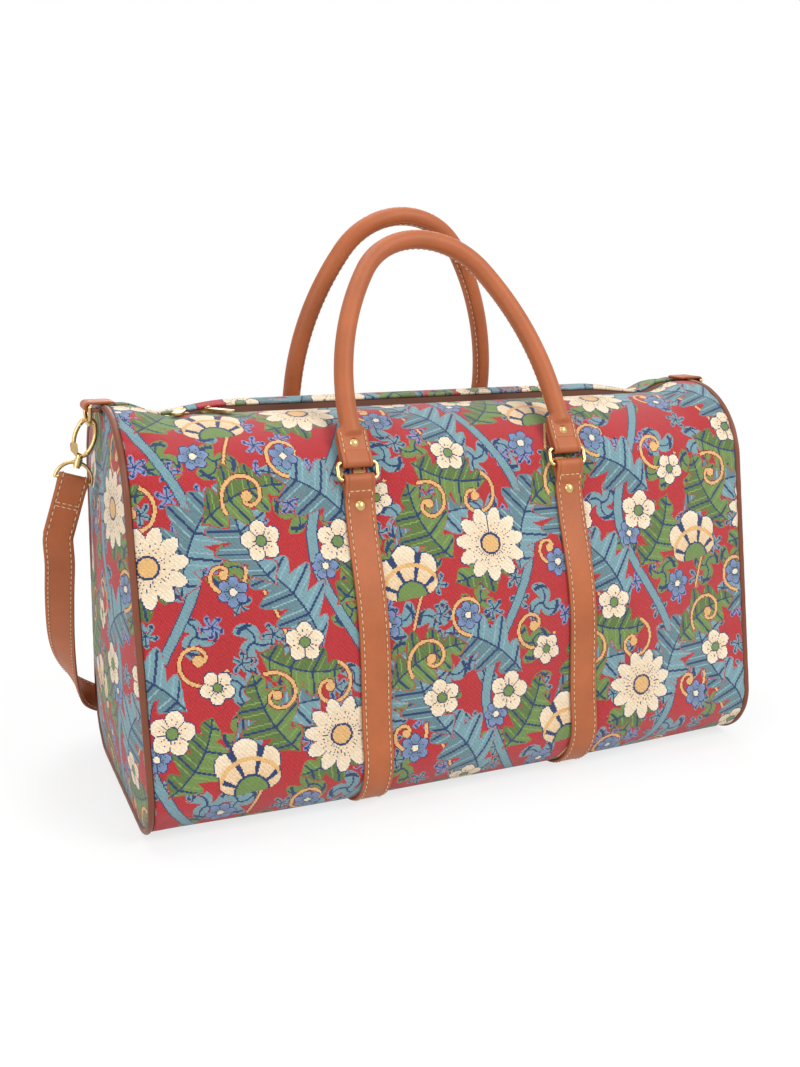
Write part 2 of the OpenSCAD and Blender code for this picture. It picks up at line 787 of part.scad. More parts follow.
// Smooth curve through four knots, after Catmull and Rom
function curve(a, b, c, d, t) = (2 * b + (c - a) * t + (2 * a - 5 * b + 4 * c - d) * t * t
  + (3 * b - a - 3 * c + d) * t * t * t) / 2;
long_run = [for (i = [1:len(knots) - 3], k = [0:n_span - 1])
  curve(knots[i - 1], knots[i], knots[i + 1], knots[i + 2], k / n_span)];
left_line = concat([for (p = folded) left_hook_point(p)], long_run);
n_fold = len(folded);

// Direction of the strap's width along its left half: along the ring bar, then upright behind the bag
bar_dir = [cos(hook_slant), 0, -sin(hook_slant)];
turn_l = len(left_line) - n_fold - 7;
left_wide = [for (i = [0:len(left_line) - 1]) let (t = smooth((i - n_fold) / turn_l))
  bar_dir * (1 - t) + [0, 0, -1] * t];

module strap_sweep() {
  line = concat(left_line, [[0, back_y, run_z]], [for (p = flip(left_line)) [-p[0], p[1], p[2]]]);
  wide = concat(left_wide, [[0, 0, -1]], [for (p = flip(left_wide)) [-p[0], p[1], p[2]]]);
  last = len(line) - 1;
  points = [for (i = [0:last]) let (
      t = unit(line[min(last, i + 1)] - line[max(0, i - 1)]),
      w = unit(wide[i] - t * (wide[i] * t)) * shoulder_w / 2,
      n = unit(cross(t, w)) * shoulder_t / 2)
    each [line[i] + w + n, line[i] - w + n, line[i] - w - n, line[i] + w - n]];
  sides = [for (i = [0:last - 1], j = [0:3]) let (a = 4 * i + j, b = 4 * i + (j + 1) % 4)
    each [[a, b + 4, b], [a, a + 4, b + 4]]];
  far = 4 * last;
  caps = [[0, 1, 2], [0, 2, 3], [far + 3, far + 2, far + 1], [far + 3, far + 1, far]];
  polyhedron(points, concat(sides, caps));
}

module front_panel() { color(red_cloth) cloth_panel(); }
module back_panel() { color(red_cloth) mirror([0, 1, 0]) cloth_panel(); }
module left_end_panel() { color(red_cloth) mirror([1, 0, 0]) end_panel(); }
module right_end_panel() { color(red_cloth) end_panel(); }
module left_piping() { color(brown_leather) mirror([1, 0, 0]) piping(); }
module right_piping() { color(brown_leather) piping(); }
module lining() {
  xs = stations(wrap_half);
  color("tan")
    shell(xs,
      [for (x = xs) lining_outline(section(x), lining_off)],
      [for (x = xs) lining_outline(section(x), lining_off - lining_t)]);
}
module left_lining_end() { color("tan") mirror([1, 0, 0]) lining_end(); }
module right_lining_end() { color("tan") lining_end(); }
module base_board() {
  half = base_w / 2 - low_r;
  color("dimgray")
    translate([-end_half + end_tab_l, -half, base_z - lining_off + lining_t + seam_gap])
      cube([bag_l - 2 * end_tab_l, 2 * half, board_t]);
}
module front_zip_tape() { color("saddlebrown") zip_tape(); }
module back_zip_tape() { color("saddlebrown") mirror([0, 1, 0]) zip_tape(); }
module front_zip_teeth() { color("saddlebrown") zip_teeth(0); }
module back_zip_teeth() { color("saddlebrown") mirror([0, 1, 0]) zip_teeth(tooth_pitch / 2); }
module zip_stops() {
  color(gold)
    for (s = [-1, 1])
      translate([s * (chain_half - stop_l / 2) - stop_l / 2, -tooth_w, zip_top])
        cube([stop_l, 2 * tooth_w, tooth_h]);
}
module left_zip_slider() { color(gold) zip_slider(left_slider_x, left_pull_turn); }
module left_zip_pull() { color(gold) turned_pull(left_slider_x, left_pull_turn); }
module right_zip_slider() { color(gold) zip_slider(right_slider_x, right_pull_turn); }
module right_zip_pull() { color(gold) turned_pull(right_slider_x, right_pull_turn); }
module left_body_strap() { color(tan_leather) body_strap(-strap_x); }
module right_body_strap() { color(tan_leather) body_strap(strap_x); }
module strap_rivets() { color(gold) strap_rivet_set(); }
module front_left_ring() { color(gold) ring(-strap_x); }
module front_right_ring() { color(gold) ring(strap_x); }
module back_left_ring() { color(gold) mirror([0, 1, 0]) ring(-strap_x); }
module back_right_ring() { color(gold) mirror([0, 1, 0]) ring(strap_x); }
module front_handle() { color(tan_leather) on_high_bar(front_lean) handle(); }
module front_handle_rivets() { color(gold) on_high_bar(front_lean) handle_rivet_set(); }
module back_handle() { color(tan_leather) mirror([0, 1, 0]) on_high_bar(back_lean) handle(); }
module back_handle_rivets() { color(gold) mirror([0, 1, 0]) on_high_bar(back_lean) handle_rivet_set(); }
module left_end_tab() { color(tan_leather) mirror([1, 0, 0]) end_tab(); }
module right_end_tab() { color(tan_leather) end_tab(); }
module left_d_ring() { color(gold) mirror([1, 0, 0]) d_ring(); }
module right_d_ring() { color(gold) d_ring(); }
module left_hook() { color(gold) mirror([1, 0, 0]) hook(); }
module right_hook() { color(gold) hook(); }
module left_hook_gate() { color(gold) mirror([1, 0, 0]) hook_gate(); }
module right_hook_gate() { color(gold) hook_gate(); }
module left_strap_ring() { color(gold) mirror([1, 0, 0]) strap_ring(); }
module right_strap_ring() { color(gold) strap_ring(); }
module shoulder_strap() { color(tan_leather) strap_sweep(); }

front_panel();
back_panel();
left_end_panel();
right_end_panel();
left_piping();
right_piping();
lining();
left_lining_end();
right_lining_end();
base_board();
front_zip_tape();
back_zip_tape();
front_zip_teeth();
back_zip_teeth();
zip_stops();
left_zip_slider();
left_zip_pull();
right_zip_slider();
right_zip_pull();
left_body_strap();
right_body_strap();
strap_rivets();
front_left_ring();
front_right_ring();
back_left_ring();
back_right_ring();
front_handle();
front_handle_rivets();
back_handle();
back_handle_rivets();
left_end_tab();
right_end_tab();
left_d_ring();
right_d_ring();
left_hook();
right_hook();
left_hook_gate();
right_hook_gate();
left_strap_ring();
right_strap_ring();
shoulder_strap();
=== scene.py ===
"""Travel bag of woven tapestry with leather handles and straps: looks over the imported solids."""

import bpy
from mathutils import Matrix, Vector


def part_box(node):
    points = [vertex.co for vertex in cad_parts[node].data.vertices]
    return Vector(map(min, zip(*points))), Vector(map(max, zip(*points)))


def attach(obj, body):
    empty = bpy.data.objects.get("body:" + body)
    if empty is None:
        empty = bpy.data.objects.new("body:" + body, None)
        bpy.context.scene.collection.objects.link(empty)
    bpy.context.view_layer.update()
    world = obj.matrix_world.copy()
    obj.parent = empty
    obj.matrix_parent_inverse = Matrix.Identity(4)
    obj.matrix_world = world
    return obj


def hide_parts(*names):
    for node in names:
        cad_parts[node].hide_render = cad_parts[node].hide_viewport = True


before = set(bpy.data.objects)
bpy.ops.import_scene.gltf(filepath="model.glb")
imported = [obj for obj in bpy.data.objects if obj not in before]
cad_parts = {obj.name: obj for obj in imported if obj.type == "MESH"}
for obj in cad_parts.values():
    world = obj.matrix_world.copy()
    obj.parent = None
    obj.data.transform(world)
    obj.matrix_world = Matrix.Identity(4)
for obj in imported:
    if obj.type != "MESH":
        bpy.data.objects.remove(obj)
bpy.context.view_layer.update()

import math

import bpy
import numpy as np
from bpy.props import FloatProperty, FloatVectorProperty, PointerProperty
from bpy.types import NodeSocket, Operator, Panel, PropertyGroup
from mathutils import Vector

bl_info = {
    "name": "Tapestry travel bag",
    "version": (1, 0, 0),
    "blender": (4, 5, 0),
    "location": "View3D > Sidebar > Bag",
    "description": "Builds the cloth, leather, zip and metal finishes of a travel bag",
    "category": "Object",
}


def length(name, default, description):
    """A length in metres that a user may change."""
    return FloatProperty(name=name, description=description, default=default, min=0.0, precision=4,
                         subtype="DISTANCE", unit="LENGTH")


def paint(name, default, description):
    """A colour as it is written, in linear light."""
    return FloatVectorProperty(name=name, description=description, default=default, size=3,
                               min=0.0, max=1.0, subtype="COLOR")


class BagSizes(PropertyGroup):
    """Lengths of the bag, as its solids have them."""
    bag_l: length("Length", 0.52, "Length between the two end seams")
    end_h: length("Height", 0.305, "Height of the cloth at the end seams")
    top_sag: length("Top sag", 0.009, "How far the top sinks between the end seams")
    base_w: length("Base width", 0.23, "Width across the base at the end seams")
    base_spread: length("Base spread", 0.01, "How much wider the base spreads at mid length")
    low_r: length("Lower corners", 0.042, "Radius of the lower corners")
    top_r: length("Shoulders", 0.07, "Radius of the shoulders")
    flat_half: length("Flat top", 0.014, "Half width of the flat top")
    side_belly: length("Side belly", 0.01, "How far the sides belly out at mid length")
    end_bulge: length("End bulge", 0.01, "How far each end panel bulges")
    base_z: length("Base height", 0.0027, "Height of the cloth base above the floor")
    cloth_t: length("Cloth", 0.0022, "Thickness of the tapestry cloth")
    slack: length("Slack", 0.0032, "How far the slack cloth puffs between the straps")
    lip_rise: length("Raised lip", 0.008, "How far the cloth behind the zip stands above the front")
    pipe_r: length("Piping", 0.0025, "Radius of the piping cord")
    pipe_in: length("Piping depth", 0.001, "Depth of the piping's middle under the cloth")
    zip_half: length("Zip slot", 0.0075, "Half width of the slot in the cloth")
    strap_x: length("Strap place", 0.09, "Distance of each body strap from the middle")
    strap_w: length("Strap width", 0.024, "Width of the body straps")
    strap_t: length("Strap", 0.0024, "Thickness of the body straps")
    seat_gap: length("Seat gap", 0.0003, "Gap between a piece and what it lies on")
    bar_r: length("Ring wire", 0.0016, "Radius of the ring wire")
    handle_drop: length("Handle height", 0.187, "Height of a handle above its ring bar")
    arch_r: length("Arch", 0.062, "Radius of the top of a handle's arch")
    roll_r: length("Handle roll", 0.0075, "Radius of the rolled handle")
    tab_w: length("Tab width", 0.024, "Width of a handle tab")
    tab_l: length("Tab length", 0.028, "Length of a handle tab")
    shoulder_w: length("Shoulder strap", 0.022, "Width of the shoulder strap")
    shoulder_t: length("Shoulder leather", 0.0022, "Thickness of the shoulder strap")
    stitch_l: length("Stitch", 0.0036, "Length of a stitch")
    stitch_pitch: length("Stitch pitch", 0.005, "Distance from stitch to stitch")
    stitch_r: length("Thread", 0.0005, "Radius of the sewing thread")
    thread_p: length("Weave", 0.0009, "Spacing of the threads in the tapestry")


class BagColours(PropertyGroup):
    """Colours of the cloth, leather, thread and metal."""
    red: paint("Red ground", (0.52, 0.030, 0.036), "Ground of the tapestry")
    teal: paint("Grey blue", (0.19, 0.335, 0.375), "Large leaves of the tapestry")
    green: paint("Green", (0.165, 0.26, 0.072), "Lobed leaves of the tapestry")
    cream: paint("Cream", (0.90, 0.77, 0.58), "Blossoms of the tapestry")
    ochre: paint("Ochre", (0.78, 0.46, 0.18), "Stems and blossom hearts")
    navy: paint("Navy", (0.020, 0.045, 0.135), "Outlines of the tapestry")
    blue: paint("Periwinkle", (0.22, 0.29, 0.52), "Small blossoms of the tapestry")
    leather: paint("Tan leather", (0.42, 0.115, 0.036), "Handles and straps")
    leather_edge: paint("Leather edge", (0.20, 0.055, 0.022), "Painted edges of the straps")
    piping: paint("Piping", (0.19, 0.052, 0.022), "Leather of the piping")
    thread: paint("Sewing thread", (0.76, 0.52, 0.31), "Stitches on the leather")
    gold: paint("Gold", (0.66, 0.45, 0.19), "Rings, rivets, hooks and sliders")
    zip: paint("Zip", (0.13, 0.045, 0.022), "Tape and coil of the zip")
    lining: paint("Lining", (0.33, 0.23, 0.14), "Lining cloth")
    board: paint("Board", (0.13, 0.11, 0.095), "Base board")


# Measures that the solids fix, in metres and degrees
LOOP_GAP = 0.0003        # play between a loop of leather and the bar in it
SEWN = 0.0001            # height of a stitch's middle above the leather
RING_TURN = 160.0        # where a ring's lower bar lies on the shoulder
RING_LEAN = 20.0         # lean of a ring at rest
RING_RISE = 0.0125       # from a ring's lower bar to its upper one
LEANS = {"front": 29.0, "back": 12.0}    # lean of each handle from upright
FOOT = 0.004             # straight piece of a handle's roll above its tab
STRAP_INSET = 0.0028     # stitch line from the edge of a body strap
TAB_INSET = 0.0026       # stitch line from the edge of a handle tab or the shoulder strap
END_TAB_W, END_TAB_T = 0.022, 0.002      # width and leather of an end tab
END_INSET = 0.0024       # pressed line from the edge of an end tab
END_BAR_R = 0.0015       # radius of an end ring's wire
END_BAR_OUT = 0.011      # from the end seam to the bar of an end ring
HOOK_SLANT = 18.0        # lean of a hook and of the strap's end
HOOK_AT = (0.271, 0.294262)              # x and z of a hook's swivel
HOOK_BAR, HOOK_WIRE = -0.042771, 0.0014  # strap ring's bar below the swivel, and its wire's radius
FOLD = 0.044             # length of the shoulder strap that is folded back
FOLD_RUN = 0.0968        # length of both layers of the fold and the loop between them
PASS_GAP = 0.005         # room between the shoulder strap and the body straps or the floor

# Tapestry: a half-drop repeat of rosettes, fan blossoms, lobed leaves, stems and curls over sprigs
PITCH_U, PITCH_V = 0.132, 0.262
OUTLINE = 0.0009
BACK_SHIFT = 0.075       # shift of the pattern along the back panel
END_SHIFT = (0.33, 0.06)                 # shift of the pattern on the end panels
# Leaf: place, angle, length and half width, lobes, bend; curl or blossom: place, angle, radius
TEAL_LEAVES = (
    ((0.036, 0.014), 62, (0.094, 0.027), 5, 0.011), ((0.002, 0.104), 128, (0.090, 0.026), 5, -0.011),
    ((0.104, 0.022), 108, (0.088, 0.025), 5, 0.010), ((0.064, 0.170), 20, (0.082, 0.024), 4, 0.009),
    ((0.034, 0.196), 150, (0.080, 0.024), 4, -0.009))
GREEN_LEAVES = (
    ((0.054, 0.066), 24, (0.070, 0.024), 4, 0.008), ((0.016, 0.136), 58, (0.066, 0.023), 4, -0.008),
    ((0.114, 0.160), 118, (0.070, 0.024), 4, 0.007), ((0.086, 0.236), -14, (0.066, 0.023), 4, -0.007),
    ((0.030, 0.040), -150, (0.058, 0.021), 3, 0.006))
CURLS = (((0.088, 0.086), 40, 0.019), ((0.044, 0.232), 160, 0.020), ((0.006, 0.076), 250, 0.018),
         ((0.098, 0.204), 300, 0.017), ((0.066, 0.030), 200, 0.016), ((0.122, 0.118), 90, 0.017))
BLUE_BLOSSOMS = (((0.054, 0.116), 10, 0.0110), ((0.120, 0.116), 40, 0.0105),
                 ((0.072, 0.018), 25, 0.0110), ((0.010, 0.165), 60, 0.0100))
CREAM_BLOSSOMS = (((0.022, 0.182), 5, 0.0165), ((0.096, 0.054), 30, 0.0150),
                  ((0.120, 0.242), 15, 0.0145), ((0.056, 0.212), 50, 0.0125))


def rgba(colour):
    return (*colour[:3], 1.0)


def tinted(colour, share):
    """The colour made darker or lighter."""
    return rgba([min(1.0, share * c) for c in colour[:3]])


def maths(operation):
    """A method that adds one Math node, and its reflected form."""
    def straight(self, *others):
        return self.graph.math(operation, self, *others)

    def reflected(self, other):
        return self.graph.math(operation, other, self)

    return straight, reflected


class Signal:
    """A number that varies over a surface; Python's operators on it add Math nodes."""
    __add__, __radd__ = maths("ADD")
    __sub__, __rsub__ = maths("SUBTRACT")
    __mul__, __rmul__ = maths("MULTIPLY")
    __truediv__, __rtruediv__ = maths("DIVIDE")
    __gt__, __lt__ = maths("GREATER_THAN")[0], maths("LESS_THAN")[0]
    __pow__, __abs__ = maths("POWER")[0], maths("ABSOLUTE")[0]
    sin, cos, sqrt = maths("SINE")[0], maths("COSINE")[0], maths("SQRT")[0]
    round, floor, fract = maths("ROUND")[0], maths("FLOOR")[0], maths("FRACT")[0]

    def __init__(self, graph, socket):
        self.graph = graph
        self.socket = socket

    def clamp(self):
        return self.graph.math("ADD", self, 0.0, clamp=True)


class Graph:
    """Node tree of one material, or of the world."""

    def __init__(self, owner):
        owner.use_nodes = True
        self.owner = owner
        self.tree = owner.node_tree
        self.tree.nodes.clear()

    def node(self, kind, settings=None, inputs=None):
        """A node of a type, with its settings set first and then its sockets' values or links."""
        made = self.tree.nodes.new(kind)
        for key, value in (settings or {}).items():
            setattr(made, key, value)
        for key, value in (inputs or {}).items():
            value = value.socket if isinstance(value, Signal) else value
            if isinstance(value, NodeSocket):
                self.tree.links.new(value, made.inputs[key])
            else:
                made.inputs[key].default_value = value
        return made

    def math(self, operation, *values, clamp=False):
        made = self.node("ShaderNodeMath", {"operation": operation, "use_clamp": clamp},
                         dict(enumerate(values)))
        return Signal(self, made.outputs[0])

    def mix(self, factor, first, second, blend="MIX"):
        """Colour that goes from first to second as factor goes from 0 to 1."""
        made = self.node("ShaderNodeMix", {"data_type": "RGBA", "blend_type": blend},
                         {0: factor, 6: first, 7: second})
        return made.outputs[2]

    def split(self, vector, kind="ShaderNodeSeparateXYZ"):
        """The three numbers of a vector or colour."""
        return [Signal(self, s) for s in self.node(kind, None, {0: vector}).outputs]

    def coordinates(self, uv=False):
        """Object coordinates, or the piece's own UV map, as separate numbers and as a vector."""
        vector = self.node("ShaderNodeTexCoord").outputs["UV" if uv else "Object"]
        return self.split(vector), vector

    def noise(self, vector, scale, detail=2.0, roughness=0.5):
        made = self.node("ShaderNodeTexNoise", None, {
            "Vector": vector, "Scale": scale, "Detail": detail, "Roughness": roughness})
        return Signal(self, made.outputs["Fac"])

    def cells(self, vector, scale):
        """Distance to the nearest edge of scattered cells."""
        made = self.node("ShaderNodeTexVoronoi", {"feature": "DISTANCE_TO_EDGE"},
                         {"Vector": vector, "Scale": scale})
        return Signal(self, made.outputs["Distance"])

    def bump(self, height, distance, strength):
        return self.node("ShaderNodeBump", None, {
            "Height": height, "Distance": distance, "Strength": strength}).outputs[0]

    def seen(self):
        """1 where the camera looks straight, in a reflection or through glass, and 0 for other light."""
        path = self.node("ShaderNodeLightPath").outputs
        straight = self.math("MAXIMUM", path["Is Camera Ray"], path["Is Glossy Ray"])
        return self.math("MAXIMUM", straight, path["Is Transmission Ray"])

    def blended(self, factor, first, second, output):
        """Two shaders mixed by a factor and wired to an output."""
        both = self.node("ShaderNodeMixShader", None, {0: factor, 1: first.outputs[0], 2: second.outputs[0]})
        self.node(output, None, {0: both.outputs[0]})
        return self.owner

    def surface(self, **inputs):
        """Principled shader with these sockets, wired to the output."""
        shader = self.node("ShaderNodeBsdfPrincipled", None,
                           {key.replace("_", " "): value for key, value in inputs.items()})
        self.node("ShaderNodeOutputMaterial", None, {0: shader.outputs[0]})
        return self.owner


class Weave(Graph):
    """Woven picture: each motif is laid over the ground that the ones before it left. It is read at the
    middle of each thread, so its edges are stepped."""

    def __init__(self, owner, sizes, colours):
        super().__init__(owner)
        (u, v, _), self.vector = self.coordinates(uv=True)
        self.across, self.along = u / sizes.thread_p, v / sizes.thread_p
        self.row, self.pick = self.across.floor(), self.along.floor()
        self.u, self.v = ((count + 0.5) * sizes.thread_p for count in (self.row, self.pick))
        self.red, self.navy = rgba(colours.red), rgba(colours.navy)
        self.wine = tinted(self.red, 0.42)
        speckle = ((self.row + self.pick * 0.5) * 0.5).fract() < 0.3
        self.ground = self.mix(speckle, self.red, tinted(self.red, 0.8))

    def lay(self, mask, colour):
        self.ground = self.mix(mask, self.ground, colour)

    def shape(self, inside, fill, edge, rim=OUTLINE):
        """Filled shape with an outline; inside is the depth within its rim."""
        self.lay(inside > -rim, edge)
        self.lay(inside > 0.0, fill)

    def column(self, start):
        """Distance across from the nearest column of the repeat, and that column's number."""
        across = self.u - start
        column = (across / PITCH_U).round()
        return self.math("MULTIPLY_ADD", column, -PITCH_U, across), column

    def placed(self, centre, angle):
        """Coordinates about the nearest repeat of a centre, turned by an angle in degrees."""
        across, column = self.column(centre[0])
        up = self.math("MULTIPLY_ADD", column, -PITCH_V / 2, self.v - centre[1])
        up = self.math("MULTIPLY_ADD", (up / PITCH_V).round(), -PITCH_V, up)
        c, s = math.cos(math.radians(angle)), math.sin(math.radians(angle))
        return (self.math("MULTIPLY_ADD", up, s, across * c),
                self.math("MULTIPLY_ADD", across, -s, up * c))

    def polar(self, along, side):
        """Distance from the centre and angle about it."""
        return (along * along + side * side).sqrt(), self.math("ARCTAN2", side, along)

    def leaf(self, fill, centre, angle, size, lobes, bend):
        """Leaf along a bent axis: its half width is a sine of the length, cut into round lobes that
        slant forward; one half is darker, and a line runs up the middle and into each lobe."""
        along, side = self.placed(centre, angle)
        reach, width = size
        share = self.math("DIVIDE", along, reach, clamp=True)
        off = side - share * (1.0 - share) * (4.0 * bend)
        far = abs(off)
        lobe = abs((share * (math.pi * lobes) - far * 60.0).sin())
        half = (share * math.pi).sin() * (0.36 + 0.64 * lobe) * width
        inside = half - far - abs(along - share * reach)
        self.shape(inside, self.mix(off > 0.0, fill, tinted(fill, 0.68)), self.red)
        self.lay((abs(lobe - 0.72) < 0.06) * (inside > 0.0014), tinted(fill, 1.35))
        self.lay((lobe > 0.988) * (inside > 0.0011), self.navy)
        self.lay((far < 0.0007) * (inside > 0.0008), self.navy)

    def sprigs(self, shift, size, lobes, twist, kept, fills):
        """Filler: about each point of a scattered lattice one sprig, whose rim is scalloped by lobes that
        twist with the distance; its turn and colour are the point's own, and so is whether it is kept."""
        spot = self.node("ShaderNodeCombineXYZ", None, {
            0: self.u + shift[0], 1: self.v + shift[1]}).outputs[0]
        near = self.node("ShaderNodeTexVoronoi", {"voronoi_dimensions": "2D"}, {
            "Vector": spot, "Scale": 1.0 / size, "Randomness": 0.6}).outputs
        local = self.node("ShaderNodeVectorMath", {"operation": "SUBTRACT"}, {0: spot, 1: near["Position"]})
        turn, kind = self.split(near["Color"], "ShaderNodeSeparateColor")[:2]
        distance, angle = self.polar(*self.split(local.outputs[0])[:2])
        angle = (angle + turn * 6.0 + distance * ((kind > 0.5) * (2.0 * twist) - twist)) * (lobes / 2.0)
        lobe = abs(angle.cos())
        inside = size * 0.45 * (0.24 + 0.76 * lobe) * (turn < kept) - distance - 0.0005
        self.shape(inside, self.mix(kind > 0.5, *fills), self.red)
        self.lay((abs(distance - size * 0.33) < size * 0.035) * (inside > 0.0011), self.navy)
        self.lay((abs(angle.sin()) * distance < 0.0011) * (inside > 0.0009), self.navy)

    def bloom(self, rim, distance, radius, fill, shade):
        """Ground of a flower, from its shade in the middle to its fill at the rim."""
        tone = self.mix(self.math("DIVIDE", distance, radius, clamp=True), shade, fill)
        self.shape(rim, tone, self.navy)

    def blossom(self, petals, fill, shade, heart, centre, angle, radius):
        """Flower: its rim is a circle scalloped by the petals, with lines between them and a heart."""
        distance, angle = self.polar(*self.placed(centre, angle))
        scallop = abs((angle * (petals / 2.0)).cos())
        rim = radius * (0.70 + 0.30 * scallop) - distance
        self.bloom(rim, distance, radius, fill, shade)
        lines = (scallop * distance < 0.00075) * (rim > 0.0)
        rays = (abs((angle * (petals * 1.5)).cos()) < 0.13) * (distance < radius * 0.62)
        self.lay(self.math("MAXIMUM", lines, rays * (rim > 0.0)), self.navy)
        self.lay(distance < radius * 0.30, self.navy)
        self.lay(distance < radius * 0.24, heart)

    def fan(self, fill, shade, calyx, centre, angle, radius):
        """Fan blossom: its rim is a power of the cosine of the angle, notched, with ribs and a cup."""
        distance, angle = self.polar(*self.placed(centre, angle))
        spread = self.math("MAXIMUM", (angle * 0.92).cos(), 0.0) ** 0.55
        notch = 0.86 + 0.14 * abs((angle * 4.5).cos())
        rim = radius * spread * notch - distance
        self.bloom(rim, distance, radius, fill, shade)
        inner = rim > 0.0
        self.lay((abs((angle * 4.5).sin()) > 0.93) * inner * (distance > radius * 0.3), self.navy)
        self.lay((abs(distance - radius * 0.62) < 0.0016) * inner, shade)
        self.lay((distance < radius * 0.34) * inner, self.navy)
        self.lay((distance < radius * 0.30) * inner, calyx)

    def curl(self, fill, centre, angle, radius):
        """Tendril: a band about a spiral whose radius grows with the angle, ending in a bead."""
        distance, angle = self.polar(*self.placed(centre, angle))
        band = 0.0013 - abs(distance - angle * (radius * 0.14) - radius * 0.62)
        self.shape(self.math("MAXIMUM", band, radius * 0.20 - distance), fill, self.wine, 0.0007)

    def stem(self, start, swing, width, phase, fill, edge):
        """Stem that swings from side to side up the cloth as a sine of the height."""
        across, column = self.column(start)
        up = self.math("MULTIPLY_ADD", column, -PITCH_V / 2, self.v)
        wave = (up * (2.0 * math.pi / PITCH_V) + phase).sin() * swing
        self.shape(width - abs(across - wave), fill, edge)

    def threads(self):
        """Picture and relief of the cloth: each thread has its own tone, and painted shade darkens the
        hollows.
        """
        spot = self.node("ShaderNodeCombineXYZ", None, {0: self.row, 1: self.pick}).outputs[0]
        shade = Signal(self, self.node("ShaderNodeTexWhiteNoise", {"noise_dimensions": "2D"}, {
            "Vector": spot}).outputs["Value"])
        over = ((self.row + self.pick) * 0.5).fract() > 0.25
        warp, weft = (abs((count.fract() * math.pi).sin()) for count in (self.across, self.along))
        height = self.math("MAXIMUM", warp * over, weft * (1.0 - over * 0.45))
        soil = self.noise(self.vector, 9.0, 3.0)
        hatch = ((self.row + self.pick) * 0.25).fract() < 0.3
        # Painted shade: the colour darkens where the threads dip (low height); hatch, shade and soil are the
        # cloth's own tones.
        level = 0.84 + 0.16 * height - 0.10 * hatch + 0.20 * (shade - 0.5) + 0.16 * (soil - 0.5)
        thread_tone_and_hollow_shade = self.node("ShaderNodeCombineColor", None, {0: level, 1: level, 2: level}).outputs[0]
        return self.mix(1.0, self.ground, thread_tone_and_hollow_shade, "MULTIPLY"), height


def tapestry(name, sizes, colours):
    """Woven cloth: sprigs and stems, then leaves, curls and blossoms over them."""
    cloth = Weave(bpy.data.materials.new(name), sizes, colours)
    teal, green, cream, ochre, blue = (rgba(getattr(colours, key))
                                       for key in ("teal", "green", "cream", "ochre", "blue"))
    straw = tuple(0.5 * (a + b) for a, b in zip(cream, ochre))
    cloth.sprigs((0.0, 0.0), 0.040, 3, 70.0, 0.9, (teal, green))
    cloth.sprigs((0.41, 0.17), 0.022, 5, 40.0, 0.35, (teal, blue))
    cloth.stem(0.026, 0.024, 0.0036, 0.4, teal, cloth.navy)
    cloth.stem(0.092, 0.020, 0.0011, 2.6, ochre, cloth.wine)
    for fill, leaves in ((teal, TEAL_LEAVES), (green, GREEN_LEAVES)):
        for one in leaves:
            cloth.leaf(fill, *one)
    for one in CURLS:
        cloth.curl(ochre, *one)
    for one in BLUE_BLOSSOMS:
        cloth.blossom(6, blue, tinted(teal, 0.55), cream, *one)
    for one in CREAM_BLOSSOMS:
        cloth.blossom(5, cream, straw, green, *one)
    cloth.fan(cream, ochre, green, (0.076, 0.134), 96, 0.040)
    cloth.blossom(11, cream, straw, ochre, (0.014, 0.038), 8, 0.029)
    colour, height = cloth.threads()
    return cloth.surface(Base_Color=colour, Roughness=0.86, Sheen_Weight=0.25, Sheen_Roughness=0.5,
                         Specular_IOR_Level=0.25, Normal=cloth.bump(height, 0.0006, 0.55))


def leather_face(graph, vector, colour, amount=1.0):
    """Colour and relief of grained leather: pebbles, fine pores, soft clouds of tone, and painted shade in
    the grooves.
    """
    pebbles = graph.cells(vector, 620.0)
    pores = graph.noise(vector, 1500.0, 2.0)
    cloud = graph.noise(vector, 26.0, 4.0, 0.6)
    deep = tinted(colour, 0.62)
    tone = graph.mix(cloud, deep, tinted(colour, 1.22))
    # Painted shade: the grooves between the pebbles are darkened towards the deep tone.
    groove_shade = (1.0 - pebbles * 3.0).clamp()
    tone = graph.mix(groove_shade * (0.22 * amount), tone, deep)
    return tone, (pebbles * 2.2).clamp() + pores * 0.25, cloud


def leather(name, colours, width, inset):
    """Strap leather on UV, across and along in metres: painted edges and a pressed stitch line."""
    graph = Graph(bpy.data.materials.new(name))
    off = abs(graph.coordinates(uv=True)[0][0])
    tone, height, cloud = leather_face(graph, graph.coordinates()[1], colours.leather)
    rim = ((off - (width / 2 - 0.0006)) / 0.0009).clamp()
    crease = (1.0 - abs(off - (width / 2 - inset)) / 0.0009).clamp()
    for share in (rim * 0.85, crease * 0.45):
        tone = graph.mix(share, tone, rgba(colours.leather_edge))
    return graph.surface(Base_Color=tone, Roughness=0.40 + 0.16 * cloud + 0.12 * rim, Specular_IOR_Level=0.35,
                         Normal=graph.bump(height - crease * 4.0, 0.00012, 0.7))


def piping_leather(name, colour):
    """Grained leather all over a cord."""
    graph = Graph(bpy.data.materials.new(name))
    tone, height, cloud = leather_face(graph, graph.coordinates()[1], colour, 0.8)
    return graph.surface(Base_Color=tone, Roughness=0.36 + 0.14 * cloud, Specular_IOR_Level=0.35,
                         Normal=graph.bump(height, 0.00012, 0.6))


def metal(name, colour, roughness):
    """Plated metal with faint clouds, fine scratches and a duller film."""
    graph = Graph(bpy.data.materials.new(name))
    _, vector = graph.coordinates()
    cloud = graph.noise(vector, 90.0, 3.0)
    scratch = graph.noise(graph.node("ShaderNodeMapping", None, {
        "Vector": vector, "Scale": (300.0, 2600.0, 900.0)}).outputs[0], 1.0, 2.0)
    tone = graph.mix(cloud * 0.6, rgba(colour), tinted(colour, 0.80))
    return graph.surface(Base_Color=tone, Metallic=1.0, Roughness=roughness + 0.10 * cloud + 0.06 * scratch,
                         Normal=graph.bump(scratch, 0.00002, 0.3))


